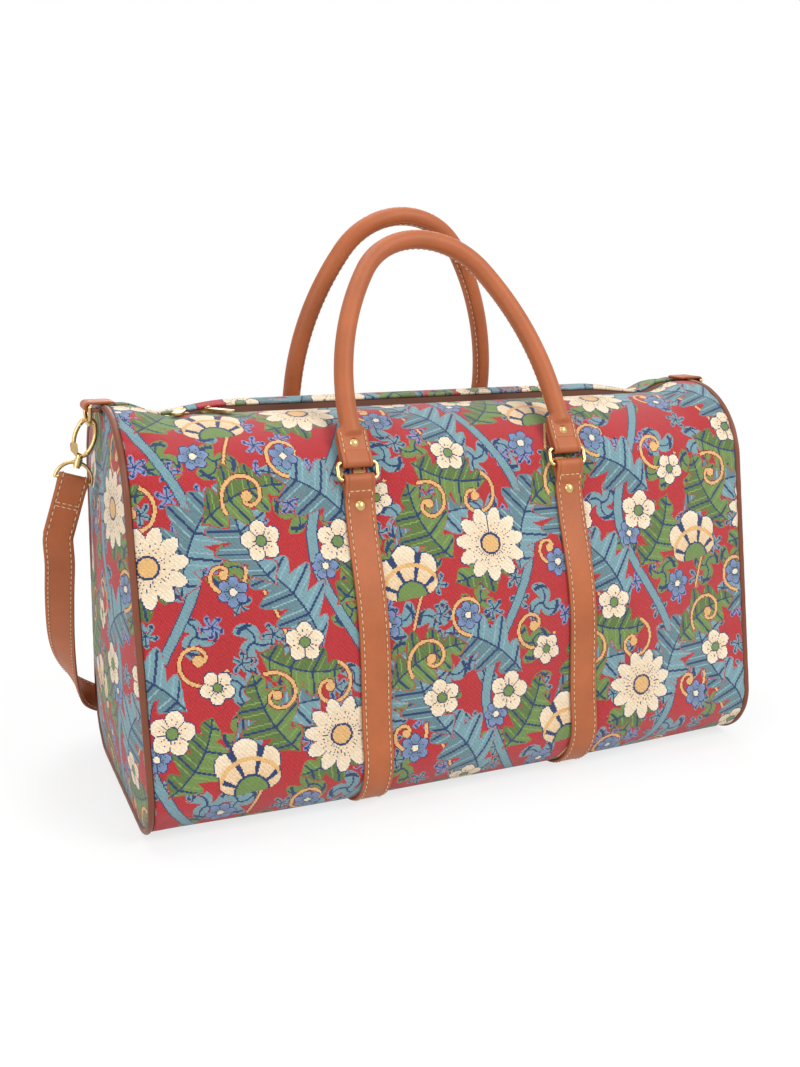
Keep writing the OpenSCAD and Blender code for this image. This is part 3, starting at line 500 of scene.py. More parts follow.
def sewing_thread(name, colour):
    """Twisted sewing thread: slanting plies, with painted shade in the hollows between them."""
    graph = Graph(bpy.data.materials.new(name))
    (x, y, z), vector = graph.coordinates()
    ply = abs(((x + y + z) * 5200.0).sin())
    # Painted shade: the colour darkens in the hollows between the plies, mixed with random tone.
    share = ply * 0.5 + 0.5 * graph.noise(vector, 160.0)
    return graph.surface(Base_Color=graph.mix(share, tinted(colour, 0.6), rgba(colour)), Roughness=0.7,
                         Normal=graph.bump(ply, 0.0001, 0.6))


def woven(name, colour, pitch, twill=0.5):
    """Plain narrow-woven cloth, as in zip tape and lining, with painted shade in the hollows of the weave."""
    graph = Graph(bpy.data.materials.new(name))
    (x, y, z), vector = graph.coordinates()
    warp = abs(((y + z * twill) * (math.pi / pitch)).sin())
    height = graph.math("MAXIMUM", warp, abs((x * (math.pi / pitch)).sin()))
    # Painted shade: the colour darkens where the threads dip, mixed with random tone.
    share = height * 0.7 + graph.noise(vector, 40.0, 3.0) * 0.3
    return graph.surface(Base_Color=graph.mix(share, tinted(colour, 0.5), rgba(colour)), Roughness=0.8,
                         Normal=graph.bump(height, 0.0003, 0.5))


def flecked(name, colour, shades, grain, roughness, relief):
    """Even stuff with flecks of a darker and a lighter shade, as pressed board and nylon have."""
    graph = Graph(bpy.data.materials.new(name))
    fleck = graph.noise(graph.coordinates()[1], *grain)
    tone = graph.mix(fleck, *(tinted(colour, shade) for shade in shades))
    return graph.surface(Base_Color=tone, Roughness=roughness, Normal=graph.bump(fleck, *relief))


def shared(make, name, *values):
    """The named material, made once."""
    return bpy.data.materials.get(name) or make(name, *values)


def smooth(t):
    t = np.clip(t, 0.0, 1.0)
    return t * t * (3.0 - 2.0 * t)


def unit(v):
    return v / np.linalg.norm(v, axis=-1, keepdims=True)


def stacked(*parts):
    """Points whose coordinates are these arrays."""
    return np.stack(np.broadcast_arrays(*parts), -1)


def lengths(line):
    """Distance along a path at each of its points."""
    return np.concatenate([[0.0], np.cumsum(np.linalg.norm(np.diff(line, axis=0), axis=1))])


def sampled(at, run, rows):
    """Rows of numbers that go with distances, read at other distances."""
    return np.stack([np.interp(at, run, column) for column in rows.T], -1)


def resample(line, spacing):
    """Points at even spacing along a path."""
    run = lengths(line)
    return sampled(np.linspace(0.0, run[-1], max(2, int(round(run[-1] / spacing)) + 1)), run, line)


def circle(radius, count):
    a = np.linspace(0.0, 2 * math.pi, count, endpoint=False)
    return radius * stacked(np.cos(a), np.sin(a))


def grid_faces(rows, columns, wrap_rows=False, wrap_columns=False, start=0):
    """Four-cornered faces of a grid of points that is stored row by row."""
    i = np.arange(rows if wrap_rows else rows - 1)[:, None]
    j = np.arange(columns if wrap_columns else columns - 1)[None, :]
    k, m = (i + 1) % rows, (j + 1) % columns
    return stacked(i * columns + j, i * columns + m, k * columns + m, k * columns + j).reshape(-1, 4) + start


def shell_faces(rows, columns):
    """Faces of a thin shell: an outer grid of points, an inner one after it, and the rim between."""
    count = rows * columns
    rim = np.concatenate([np.arange(columns), np.arange(1, rows) * columns + columns - 1,
                          (rows - 1) * columns + np.arange(columns - 2, -1, -1),
                          np.arange(rows - 2, 0, -1) * columns])
    after = np.roll(rim, -1)
    return [grid_faces(rows, columns), grid_faces(rows, columns, start=count)[:, ::-1],
            stacked(after, rim, rim + count, after + count)]


def ribbon_faces(rows, columns):
    """Side faces of a swept profile and one flat cap at each end."""
    cap = np.arange(columns)
    return [grid_faces(rows, columns, wrap_columns=True)[:, ::-1],
            [cap], [cap[::-1] + (rows - 1) * columns]]


def outward(points, faces):
    """The faces, all turned over if the volume that they enclose comes out below nought."""
    faces = [np.asarray(block) for block in faces]
    volume = sum(np.sum(points[block[:, 0]] * np.cross(points[block[:, k]], points[block[:, k + 1]]))
                 for block in faces for k in range(1, block.shape[1] - 1))
    return faces if volume > 0.0 else [block[:, ::-1] for block in faces]


def piece(name, points, faces, material, body, replaced=(), uv=None):
    """Closed mesh at the origin that rides on a body; faces is a list of index arrays."""
    points = points.reshape(-1, 3)
    mesh = bpy.data.meshes.new(name)
    rows = [row for block in outward(points, faces) for row in block.tolist()]
    mesh.from_pydata(points.tolist(), [], rows)
    if uv is not None:
        layer = mesh.uv_layers.new(name="cloth")
        corner = np.empty(len(mesh.loops), np.int32)
        mesh.loops.foreach_get("vertex_index", corner)
        layer.data.foreach_set("uv", uv.reshape(-1, 2)[corner].astype(np.float32).ravel())
    mesh.shade_smooth()
    mesh.update()
    mesh.materials.append(material)
    made = bpy.data.objects.new(name, mesh)
    bpy.context.scene.collection.objects.link(made)
    if replaced:
        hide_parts(*replaced)
    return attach(made, body)


def finish_nodes(names, material):
    """Put a material on solids whose shape stays."""
    for name in names:
        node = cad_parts[name]
        node.data.materials.clear()
        node.data.materials.append(material)


def rounded(width, thick, radius):
    """Outline of a strap's cross-section: a rectangle whose corners are quarter circles, with more
    points along its two faces."""
    a = np.linspace(0.0, math.pi / 2, 4)
    w, h = width / 2 - radius, thick / 2 - radius
    bends = (a + k * math.pi / 2 for k in range(4))
    top, left, low, right = (stacked(np.cos(bend), np.sin(bend)) * radius + corner
                             for bend, corner in zip(bends, ((w, h), (-w, h), (-w, -h), (w, -h))))
    face = stacked(np.linspace(w, -w, 9)[1:-1], thick / 2)
    return np.concatenate([top, face, left, low, -face, right])


def ribbon(line, side, profile):
    """Profile carried along a path: point = line + side * across + normal * out."""
    ahead = unit(np.gradient(line, axis=0))
    side = unit(side - ahead * np.sum(side * ahead, -1, keepdims=True))
    normal = np.cross(side, ahead)
    points = (line[:, None] + side[:, None] * profile[None, :, 0, None]
              + normal[:, None] * profile[None, :, 1, None])
    run = lengths(line)
    return points, stacked(profile[None, :, 0], run[:, None]), ahead, side, normal, run


def strip(name, line, across, profile, skin, body, replaced):
    """Strap: a profile carried along a path. Gives the directions and distances along it."""
    points, uv, *ways = ribbon(line, np.array(across), profile)
    piece(name, points, ribbon_faces(*points.shape[:2]), skin, body, replaced, uv)
    return ways


def stitch_points(sizes, at, along, up):
    """Stitches: small beads whose middle rises and whose ends dip, one for each place."""
    t = np.linspace(0.0, 1.0, 6)
    a = np.linspace(0.0, 2 * math.pi, 6, endpoint=False)
    swell = np.sqrt(np.clip(1.0 - (2 * t - 1) ** 2, 0.12, 1.0)) * sizes.stitch_r
    rise = (np.sin(math.pi * t) - 0.55) * sizes.stitch_r
    across = np.cross(along, up)
    centre = (at[:, None] + along[:, None] * ((t - 0.5) * sizes.stitch_l)[None, :, None]
              + up[:, None] * rise[None, :, None])
    ring = (across[:, None, None] * np.cos(a)[None, None, :, None]
            + up[:, None, None] * np.sin(a)[None, None, :, None])
    points = centre[:, :, None] + ring * swell[None, :, None, None]
    per = t.size * a.size
    start = (np.arange(len(at)) * per)[:, None, None]
    sides = grid_faces(t.size, a.size, wrap_columns=True)[None] + start
    cap = np.arange(a.size)[None]
    return points.reshape(-1, 3), [sides.reshape(-1, 4)[:, ::-1], cap + start[:, 0],
                                   (cap[:, ::-1] + per - a.size) + start[:, 0]]


def stitch_row(sizes, line, along, up, skip=0.0, pitch=None):
    """Places of stitches along a line, with the direction of each and the way that it faces."""
    pitch = pitch or sizes.stitch_pitch
    run = lengths(line)
    at = np.arange(skip + pitch / 2, run[-1] - skip, pitch)
    along, up = (unit(sampled(at, run, np.broadcast_to(way, line.shape))) for way in (along, up))
    return sampled(at, run, line), along, up


def stitches(name, sizes, colours, rows, body):
    """One piece of all the stitches in several rows."""
    points, faces = stitch_points(sizes, *(np.concatenate(part) for part in zip(*rows)))
    return piece(name, points, faces, shared(sewing_thread, "sewing_thread", colours.thread), body)


def section(sizes, x):
    """Height, width and belly of the cross-section at each x."""
    d = sizes.bag_l / 2 - np.abs(x)
    sag, spread = smooth((d - 0.016) / 0.030), smooth(d / 0.150)
    return (sizes.end_h - sizes.top_sag * sag, sizes.base_w + sizes.base_spread * spread,
            sizes.side_belly * spread)


def outline(sizes, x, off, first=math.pi / 2, steps=(34, 46, 22)):
    """Front outline of the section at each x, from an angle on the shoulder to the base: a shoulder
    arc, a side with a squared-sine belly, and a lower arc. Gives y, z and the outward normal."""
    height, width, belly = (np.asarray(q)[:, None] for q in section(sizes, x))
    hy, hz = -sizes.flat_half, sizes.base_z + height - sizes.top_r
    ly, lz = -(width / 2 - sizes.low_r), sizes.base_z + sizes.low_r
    dy, dz = hy - ly, hz - lz
    turn = np.arctan2(dz, dy) + np.arccos((sizes.low_r - sizes.top_r) / np.hypot(dy, dz))
    ny, nz = np.cos(turn), np.sin(turn)

    def arc(cy, cz, r, a, b, count):
        t = a + (b - a) * np.linspace(0.0, 1.0, count)
        return stacked(cy + r * np.cos(t), cz + r * np.sin(t), np.cos(t), np.sin(t))

    w = np.linspace(0.0, 1.0, steps[1])[None, 1:-1]
    py, pz = hy + (sizes.top_r + off) * ny, hz + (sizes.top_r + off) * nz
    qy, qz = ly + (sizes.low_r + off) * ny, lz + (sizes.low_r + off) * nz
    puff = belly * np.sin(math.pi * w) ** 2
    side = stacked(py + (qy - py) * w + puff * ny, pz + (qz - pz) * w + puff * nz, ny, nz)
    return np.concatenate([arc(hy, hz, sizes.top_r + off, first, turn, steps[0]), side,
                           arc(ly, lz, sizes.low_r + off, turn, 1.5 * math.pi, steps[2])], 1)


def cloth_stations(sizes):
    """Places of the cross-sections: closer together near the ends."""
    half = sizes.bag_l / 2 - sizes.pipe_r - 0.0002
    t = np.linspace(-1.0, 1.0, 171)
    return half * (t + 0.288 * np.sin(math.pi * t) / math.pi)


def slack(sizes, x, v, total):
    """Puff of the loose cloth: none at the seams and under the straps, most halfway down, with
    broad ripples and small puckers beside the end seams."""
    d = sizes.bag_l / 2 - np.abs(x)
    held = smooth((np.abs(np.abs(x) - sizes.strap_x) - sizes.strap_w / 2 - 0.002) / 0.045)
    share = v / total
    face = smooth((share - 0.22) / 0.12) * smooth((0.93 - share) / 0.12)
    ripple = (np.sin(x * 23.0 + 5.0 * share) * np.sin(share * 9.0 + x * 7.0)
              + 0.6 * np.sin(x * 41.0 - share * 13.0 + 1.3))
    puff = sizes.slack * held * face * smooth(d / 0.07) * (0.55 + 0.42 * ripple)
    pucker = (0.0007 * np.sin(v * 2 * math.pi / 0.019 + 1.5 * np.sin(v * 37.0))
              * (d / 0.008) * np.exp(1.0 - d / 0.008) * smooth((share - 0.05) / 0.08))
    return puff + pucker * smooth((0.97 - share) / 0.06)


def lip_lift(sizes, x, y):
    """Rise of the cloth and tape behind the zip: a share of it at the slot, all of it a little behind,
    none at the ends, fading out down the shoulder; each change is a smooth step."""
    fade = smooth((sizes.bag_l / 2 - 0.03 - np.abs(x)) / 0.07)
    crest = 0.7 + 0.3 * smooth((np.abs(y) - sizes.zip_half) / 0.008)
    return sizes.lip_rise * fade * crest * (1.0 - smooth((np.abs(y) - 0.017) / 0.034))


def cloth_panel(sizes, front):
    """Half of the cloth as a closed thin shell: outline at each station, puffed along its normal,
    from the folded edge at the zip to the seam under the base. UV is along and up in metres."""
    x = cloth_stations(sizes)
    top = sizes.base_z + section(sizes, x)[0][:, None]
    body = outline(sizes, x, 0.0)
    fold, bends = sizes.cloth_t / 2, 5
    a = np.linspace(0.08, math.pi / 2, bends)[None, :]
    lip = stacked(-sizes.zip_half - fold + fold * np.cos(a), top - fold + fold * np.sin(a),
                  np.cos(a), np.sin(a))
    corner = body[:, -1:, 0]
    inward = corner + (-0.0001 - corner) * np.linspace(0.0, 1.0, 14)[None, 1:]
    grid = np.concatenate([lip, body, stacked(inward, sizes.base_z, 0.0, -1.0)], 1)
    y, z, ny, nz = (grid[..., k] for k in range(4))
    step = np.hypot(np.diff(y, axis=1), np.diff(z, axis=1))
    run = np.concatenate([np.zeros((len(x), 1)), np.cumsum(step, 1)], 1)
    total = run[:, -1:]
    v = total - run
    puff = slack(sizes, x[:, None], v, total)
    y, z = y + puff * ny, z + puff * nz
    iy, iz = y - sizes.cloth_t * ny, z - sizes.cloth_t * nz
    iy[:, :bends], iz[:, :bends] = y[:, :bends], 2 * (top - fold) - z[:, :bends]
    xs = np.broadcast_to(x[:, None], y.shape)
    if not front:
        lift = (z > sizes.base_z + sizes.end_h / 2) * lip_lift(sizes, xs, y)
        z, iz = z + lift, iz + lift
    sign = 1.0 if front else -1.0
    points = np.concatenate([stacked(xs, sign * depth, level).reshape(-1, 3)
                             for depth, level in ((y, z), (iy, iz))])
    uv = stacked(xs if front else BACK_SHIFT - xs, v).reshape(-1, 2)
    return points, shell_faces(*y.shape), np.concatenate([uv, uv])


def end_outline(sizes, off, count):
    """Whole outline of the end section at even spacing, anticlockwise seen from outside."""
    half = outline(sizes, np.array([sizes.bag_l / 2]), off)[0, :, :2]
    whole = np.concatenate([half, half[::-1] * (-1.0, 1.0), half[:1]])
    return resample(whole, lengths(whole)[-1] / count)[:-1]


def end_panel(sizes, sign):
    """End panel: rings of the end outline shrink to the middle and bulge as one minus the square of
    the ring, with soft dents; closed as a thin shell. UV is depth and height in metres."""
    rim = end_outline(sizes, -(sizes.pipe_in + sizes.pipe_r + 0.0002), 150)
    m, rows = len(rim), 34
    centre = np.array([0.0, sizes.base_z + sizes.end_h / 2])
    u = np.linspace(1.0, 0.02, rows)[:, None]
    flat = centre + (rim - centre)[None] * u[..., None]
    y, z = flat[..., 0], flat[..., 1]
    dent = 0.0016 * np.sin(y * 31.0 + 2.0 * np.sin(z * 17.0)) * np.sin(z * 24.0 + 0.7) * (1.0 - u ** 4)
    bulge = sizes.end_bulge * (1.0 - u ** 2) * (1.0 + 0.12 * np.sin(z * 19.0))
    outer = stacked(sizes.bag_l / 2 + sizes.cloth_t / 2 + bulge + dent, y, z)
    inner = outer - (sizes.cloth_t, 0.0, 0.0)
    points = np.concatenate([outer.reshape(-1, 3), inner.reshape(-1, 3),
                             [outer[-1].mean(0)], [inner[-1].mean(0)]]) * (sign, 1.0, 1.0)
    count = rows * m
    skin = grid_faces(rows, m, wrap_columns=True)
    j = np.arange(m)
    k = (j + 1) % m
    last, after = j + count - m, k + count - m
    faces = [skin, stacked(last, after, 2 * count), (skin + count)[:, ::-1],
             stacked(after + count, last + count, 2 * count + 1), stacked(k, j, j + count, k + count)]
    return points, faces, stacked(points[:, 1] * -sign + END_SHIFT[0], points[:, 2] + END_SHIFT[1])


def piping_cord(sizes, sign):
    """Piping: a circle carried round the end outline, with the seam's slight waviness."""
    path = end_outline(sizes, -sizes.pipe_in, 260)
    ahead = unit(np.roll(path, -1, 0) - np.roll(path, 1, 0))
    out = stacked(ahead[:, 1], -ahead[:, 0])
    a = np.linspace(0.0, 2 * math.pi, 14, endpoint=False)
    t = np.arange(len(path)) / len(path) * 2 * math.pi
    r = sizes.pipe_r * (1.0 + 0.03 * np.sin(47 * t) * np.sin(9 * t))[:, None]
    flat = path[:, None] + out[:, None] * (r * np.cos(a))[..., None]
    x = sizes.bag_l / 2 + r * np.sin(a)
    return stacked(sign * x, flat[..., 0], flat[..., 1]), [grid_faces(len(path), len(a), True, True)]


def ring_bar(sizes):
    """Place of a ring's lower bar in the front half, its outward direction and the way up."""
    turn = math.radians(RING_TURN)
    loop = sizes.bar_r + LOOP_GAP + sizes.strap_t
    c = np.array([-sizes.flat_half, sizes.base_z + sizes.end_h - sizes.top_sag - sizes.top_r])
    out = np.array([math.cos(turn), math.sin(turn)])
    return c + (sizes.top_r + sizes.seat_gap + loop) * out, out, np.array([out[1], -out[0]])


def strap_line(sizes):
    """Middle line of a body strap in y and z: its hidden end, the loop round the ring bar, the
    lifted front and the run on the cloth to the base."""
    bar, out, up = ring_bar(sizes)
    loop = sizes.bar_r + LOOP_GAP + sizes.strap_t / 2
    a = np.linspace(0.0, math.pi, 17)[:, None]
    turn = bar + loop * (-np.cos(a) * out + np.sin(a) * up)
    behind = bar - loop * out - up * np.array([0.011, 0.0075, 0.004, 0.0015])[:, None]
    run = outline(sizes, np.array([0.0]), sizes.seat_gap + sizes.strap_t / 2, math.radians(RING_TURN),
                  (40, 60, 30))[0]
    arc = lengths(run[:, :2])
    layer = sizes.strap_t + 0.0002
    lift = layer * smooth((0.0150 - arc) / 0.005) + (2 * loop - layer) * smooth((0.0090 - arc) / 0.0090)
    front = (run[:, :2] + lift[:, None] * run[:, 2:])[arc > 0.0006]
    base = front[-1] * stacked(np.linspace(1.0, 0.0, 12)[1:], 1.0)
    half = resample(np.concatenate([behind, turn, front, base]), 0.0016)
    return np.concatenate([half, half[-2::-1] * (-1.0, 1.0)])


def handle_line(sizes):
    """Middle line of a handle in x and z above its ring bar: upright on each tab, then a wide arc that
    leans in, and a round top that the wide arcs run into."""
    foot = sizes.tab_l + FOOT
    inset, rise = sizes.strap_x - sizes.arch_r, sizes.handle_drop - foot - sizes.arch_r
    step = (inset ** 2 + rise ** 2) / (2 * inset)
    wide, turn = step + sizes.arch_r, math.atan2(rise, step - inset)
    a = np.linspace(0.0, turn, 80)[1:]
    b = np.linspace(turn, math.pi / 2, 60)[1:]
    right = np.concatenate([
        stacked(sizes.strap_x, np.linspace(0.0, foot, 40)),
        stacked(sizes.strap_x - wide + wide * np.cos(a), foot + wide * np.sin(a)),
        stacked(sizes.arch_r * np.cos(b), sizes.handle_drop - sizes.arch_r * (1 - np.sin(b)))])
    return resample(np.concatenate([right * (-1.0, 1.0), right[-2::-1]]), 0.0011)


def handle_frame(sizes, lean, sign):
    """Turns handle coordinates (x, out, up) into the bag's frame, leaning inward from the bar."""
    ring = math.radians(RING_LEAN)
    high = ring_bar(sizes)[0] + RING_RISE * np.array([math.sin(ring), math.cos(ring)])
    c, s = math.cos(math.radians(lean)), math.sin(math.radians(lean))

    def turn(d):
        return stacked(d[..., 0], sign * (d[..., 2] * s - d[..., 1] * c), d[..., 2] * c + d[..., 1] * s)

    def place(p):
        return turn(p) + (0.0, sign * high[0], high[1])

    return place, turn


def handle_roll(sizes):
    """Handle: a section carried along the middle line. On the arch it is a circle; on each tab it is a
    flat plate with rounded wings, out of which the roll rises in a steep nose in front and a long
    slope behind: half thickness = max(plate, share * sqrt(r^2 - x^2))."""
    line = handle_line(sizes)
    line = line[line[:, 1] > 0.0002]
    z = line[:, 1]
    wing = np.clip((z - 0.022) / 0.0065, 0.0, 1.0)
    wide = sizes.roll_r + (sizes.tab_w / 2 - sizes.roll_r) * np.sqrt(1.0 - wing ** 2)
    front, back = smooth((z - 0.0185) / 0.004), smooth((z - 0.0245) / 0.011)
    ahead = unit(np.gradient(line, axis=0))
    a = np.linspace(0.0, 2 * math.pi, 48, endpoint=False)[None, :]
    x = wide[:, None] * np.cos(a)
    plate = 0.0024 * (1.0 - smooth((z - 0.026) / 0.006))[:, None] * (1.0 - np.abs(np.cos(a)) ** 6) ** (1 / 6)
    dome = np.sqrt(np.clip(sizes.roll_r ** 2 - x ** 2, 0.0, None))
    share = np.where(np.sin(a) > 0.0, front[:, None], back[:, None])
    y = np.sign(np.sin(a)) * np.maximum(plate, share * dome) + 0.0008 * smooth((0.045 - z) / 0.02)[:, None]
    flat = line[:, None] + stacked(ahead[:, 1], -ahead[:, 0])[:, None] * x[..., None]
    return stacked(flat[..., 0], y, flat[..., 1]), stacked(x, lengths(line)[:, None]), line


def hook_point(p):
    """Point of the left hook's frame in the bag's frame."""
    c, s = math.cos(math.radians(HOOK_SLANT)), math.sin(math.radians(HOOK_SLANT))
    return stacked(-(HOOK_AT[0] + p[..., 0] * c - p[..., 2] * s), p[..., 1],
                   HOOK_AT[1] + p[..., 0] * s + p[..., 2] * c)


def curve(knots, steps):
    """Smooth curve through all knots but the first and last: on each span a cubic whose slope at a knot
    is half the way between that knot's neighbours."""
    t = np.linspace(0.0, 1.0, steps, endpoint=False)[None, :, None]
    a, b, c, d = (knots[k:len(knots) - 3 + k, None] for k in range(4))
    run = 2 * b + (c - a) * t + (2 * a - 5 * b + 4 * c - d) * t ** 2 + (3 * b - a - 3 * c + d) * t ** 3
    return run.reshape(-1, 3) / 2


def eased(line, reach, spread):
    """The line averaged over its neighbours with a bell-shaped weight."""
    weight = np.exp(-0.5 * (np.arange(-reach, reach + 1) / spread) ** 2)
    padded = np.concatenate([np.repeat(line[:1], reach, 0), line, np.repeat(line[-1:], reach, 0)])
    return np.stack([np.convolve(column, weight / weight.sum(), "valid") for column in padded.T], -1)


def shoulder_line(sizes):
    """Middle line and width direction of the shoulder strap: the folded end, the loop round the ring,
    then a smooth curve through the knots of the route, and the same mirrored for the right half."""
    layer, loop = sizes.shoulder_t / 2 + SEWN, HOOK_WIRE + LOOP_GAP + sizes.shoulder_t / 2
    z = np.linspace(HOOK_BAR - FOLD, HOOK_BAR, 34)
    y = layer + (loop - layer) * smooth((z - HOOK_BAR + 0.011) / 0.011)
    a = np.linspace(0.0, math.pi, 17)[1:-1]
    turn = stacked(0.0, loop * np.cos(a), HOOK_BAR + loop * np.sin(a))
    down, up = stacked(0.0, -y, z), stacked(0.0, y, z)
    end = hook_point(np.concatenate([up, turn, down[::-1][:17]]))
    first = hook_point(stacked(0.0, -layer, HOOK_BAR - FOLD * np.array([0.5, 1.0])))
    half, run_z = sizes.bag_l / 2, sizes.shoulder_w / 2 + PASS_GAP
    back_y = sizes.base_w / 2 + sizes.base_spread / 2 + sizes.seat_gap + sizes.strap_t + PASS_GAP
    # Each knot: millimetres past the end seam, share of the way back and share of the height
    route = np.array([[37.4, 0.05, 0.858], [37.8, 0.18, 0.683], [35.8, 0.38, 0.497], [29.2, 0.63, 0.322],
                      [17.2, 0.86, 0.18], [0, 0.97, 0.082], [-36, 1, 0.027], [-90, 1, 0]])
    knots = stacked(-(half + route[:, 0] / 1000), route[:, 1] * back_y,
                    run_z + (first[1, 2] - run_z) * route[:, 2])
    last = stacked(np.array([-1.0, 0.0, 1.0]) * half / 3, back_y, run_z)
    steps, reach = 14, 24
    run = curve(np.concatenate([first, knots, last]), steps)
    count = np.arange(len(run))
    slant, level = math.radians(HOOK_SLANT), np.array([0.0, 0.0, -1.0])
    bar_way = np.array([math.cos(slant), 0.0, -math.sin(slant)])
    share = smooth(count / (steps / 3) / 23.0)[:, None]
    wide = np.concatenate([np.tile(bar_way, (len(end), 1)), bar_way * (1 - share) + level * share])
    left = np.concatenate([end, run])
    past = np.concatenate([np.zeros(len(end)), smooth(count / (2.0 * steps))])[:, None]
    tail = smooth((len(left) - 1 - np.arange(len(left))) / reach)[:, None]
    left = left + (eased(left, reach, 10.0) - left) * past * tail
    mirror = np.array([-1.0, 1.0, 1.0])
    line = np.concatenate([left, [[0.0, back_y, run_z]], left[::-1] * mirror])
    return line, np.concatenate([wide, [level], wide[::-1] * mirror]), len(up)


class BagOperator(Operator):
    """What the bag's operators share: the sizes and colours of the scene."""
    bl_options = {"REGISTER", "UNDO"}

    def execute(self, context):
        self.make(context.scene.bag_sizes, context.scene.bag_colours)
        return {"FINISHED"}


class BAG_OT_stage(BagOperator):
    """Camera, floor and studio light"""
    bl_idname = "bag.stage"
    bl_label = "Stage"

    def make(self, sizes, colours):
        scene = bpy.context.scene
        scene.view_settings.view_transform = "Standard"
        scene.camera = self.linked("camera", bpy.data.cameras.new("camera"), (-0.3958, -0.8673, 0.4034))
        scene.camera.rotation_euler = (math.pi / 2 - 0.2231, 0.0, -0.4084)
        scene.camera.data.sensor_width = 36.0
        scene.camera.data.lens = 1151.0 / 1067.0 * 36.0
        self.floor()
        white = {"Color": (1.0, 1.0, 1.0, 1.0)}
        scene.world = bpy.data.worlds.new("studio")
        graph = Graph(scene.world)
        ambient, backdrop = (graph.node("ShaderNodeBackground", None, {**white, "Strength": strength})
                             for strength in (0.42, 1.0))
        graph.blended(graph.seen(), ambient, backdrop, "ShaderNodeOutputWorld")
        for name, place, size, power in (
                ("key", (0.9, -1.7, 1.6), 1.1, 34.0), ("fill", (-1.7, -0.9, 0.9), 1.2, 15.0),
                ("top", (-0.2, 0.3, 2.0), 1.4, 18.0), ("rear", (0.6, 1.8, 1.2), 1.2, 14.0)):
            lamp = bpy.data.lights.new(name, "AREA")
            lamp.size, lamp.energy = size, power
            aim = Vector((0.0, 0.0, 0.2)) - Vector(place)
            self.linked(name, lamp, place).rotation_euler = aim.to_track_quat("-Z", "Y").to_euler()

    def linked(self, name, data, place=(0.0, 0.0, 0.0)):
        made = bpy.data.objects.new(name, data)
        made.location = place
        bpy.context.scene.collection.objects.link(made)
        return made

    def floor(self):
        """Pale floor that keeps the bag's shadow and grows white further out."""
        mesh = bpy.data.meshes.new("floor")
        span = np.linspace(-6.0, 6.0, 9)
        points = stacked(span[None, :], span[:, None], 0.0)
        mesh.from_pydata(points.reshape(-1, 3).tolist(), [], grid_faces(9, 9).tolist())
        graph = Graph(bpy.data.materials.new("pale_floor"))
        matt = graph.node("ShaderNodeBsdfDiffuse", None, {"Color": (0.9, 0.9, 0.9, 1.0)})
        glow = graph.node("ShaderNodeEmission", None, {"Color": (1.0, 1.0, 1.0, 1.0), "Strength": 1.0})
        (x, y, _), _ = graph.coordinates()
        far = (((x * x + y * y).sqrt() - 0.42) / 0.5).clamp()
        white = 0.74 + 0.26 * (far * far * (3.0 - 2.0 * far))
        mesh.materials.append(graph.blended(graph.seen() * white, matt, glow, "ShaderNodeOutputMaterial"))
        self.linked("floor", mesh)


class BAG_OT_cloth(BagOperator):
    """Tapestry panels and ends"""
    bl_idname = "bag.cloth"
    bl_label = "Tapestry"

    def make(self, sizes, colours):
        cloth = shared(tapestry, "tapestry_weave", sizes, colours)
        for name, made in (("front", cloth_panel(sizes, True)), ("back", cloth_panel(sizes, False)),
                           ("left_end", end_panel(sizes, -1.0)), ("right_end", end_panel(sizes, 1.0))):
            points, faces, uv = made
            piece(name + "_cloth", points, faces, cloth, "bag", [name + "_panel"], uv)


class BAG_OT_piping(BagOperator):
    """Leather piping round the end seams"""
    bl_idname = "bag.piping"
    bl_label = "Piping"

    def make(self, sizes, colours):
        skin = shared(piping_leather, "piping_leather", colours.piping)
        for name, sign in (("left", -1.0), ("right", 1.0)):
            points, faces = piping_cord(sizes, sign)
            piece(name + "_piping_cord", points, faces, skin, "bag", [name + "_piping"])


class BAG_OT_zip(BagOperator):
    """Zip tapes, coil, stops, sliders and pulls"""
    bl_idname = "bag.zip"
    bl_label = "Zip"

    def make(self, sizes, colours):
        weave = woven("zip_weave", colours.zip, 0.0011)
        finish_nodes(["front_zip_tape"], weave)
        self.back_tape(sizes, weave)
        coil = flecked("coil_nylon", colours.zip, (0.7, 1.9), (300.0,), 0.42, (0.00005, 0.3))
        low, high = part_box("front_zip_teeth")
        pitch, wire = 0.0019, circle(0.00034, 5)
        turns = int((high.x - low.x) / pitch)
        t = np.linspace(0.0, turns * 2 * math.pi, turns * 12 + 1)
        for name, sign, shift in (("front", -1.0, 0.0), ("back", 1.0, math.pi)):
            line = stacked(low.x + t / (2 * math.pi) * pitch, sign * (0.00105 + 0.00155 * np.cos(t + shift)),
                           low.z + 0.0008 + 0.00043 * np.sin(t + shift))
            points = ribbon(line, np.array((1.0, 0.0, 0.0)), wire)[0]
            piece(name + "_zip_coil", points, ribbon_faces(*points.shape[:2]), coil, "bag",
                  [name + "_zip_teeth"])
        finish_nodes(["left_zip_slider", "right_zip_slider", "left_zip_pull", "right_zip_pull", "zip_stops"],
                     metal("zip_metal", tinted(colours.gold, 0.85), 0.20))

    def back_tape(self, sizes, weave):
        """Back tape: a thin shell that follows the sag of the top and climbs to the raised lip."""
        low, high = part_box("back_zip_tape")
        along = np.linspace(low.x, high.x, 170)[:, None]
        depth = np.linspace(low.y, high.y, 24)[None, :]
        lift = lip_lift(sizes, along, 0.0 * depth) * smooth((depth - 0.0053) / 0.0030)
        top = high.z + section(sizes, along)[0] - sizes.end_h + lift
        layers = [stacked(along, depth, level).reshape(-1, 3)
                  for level in (top, top - (high.z - low.z - sizes.top_sag))]
        piece("back_zip_weave", np.concatenate(layers), shell_faces(*lift.shape), weave, "bag",
              ["back_zip_tape"])


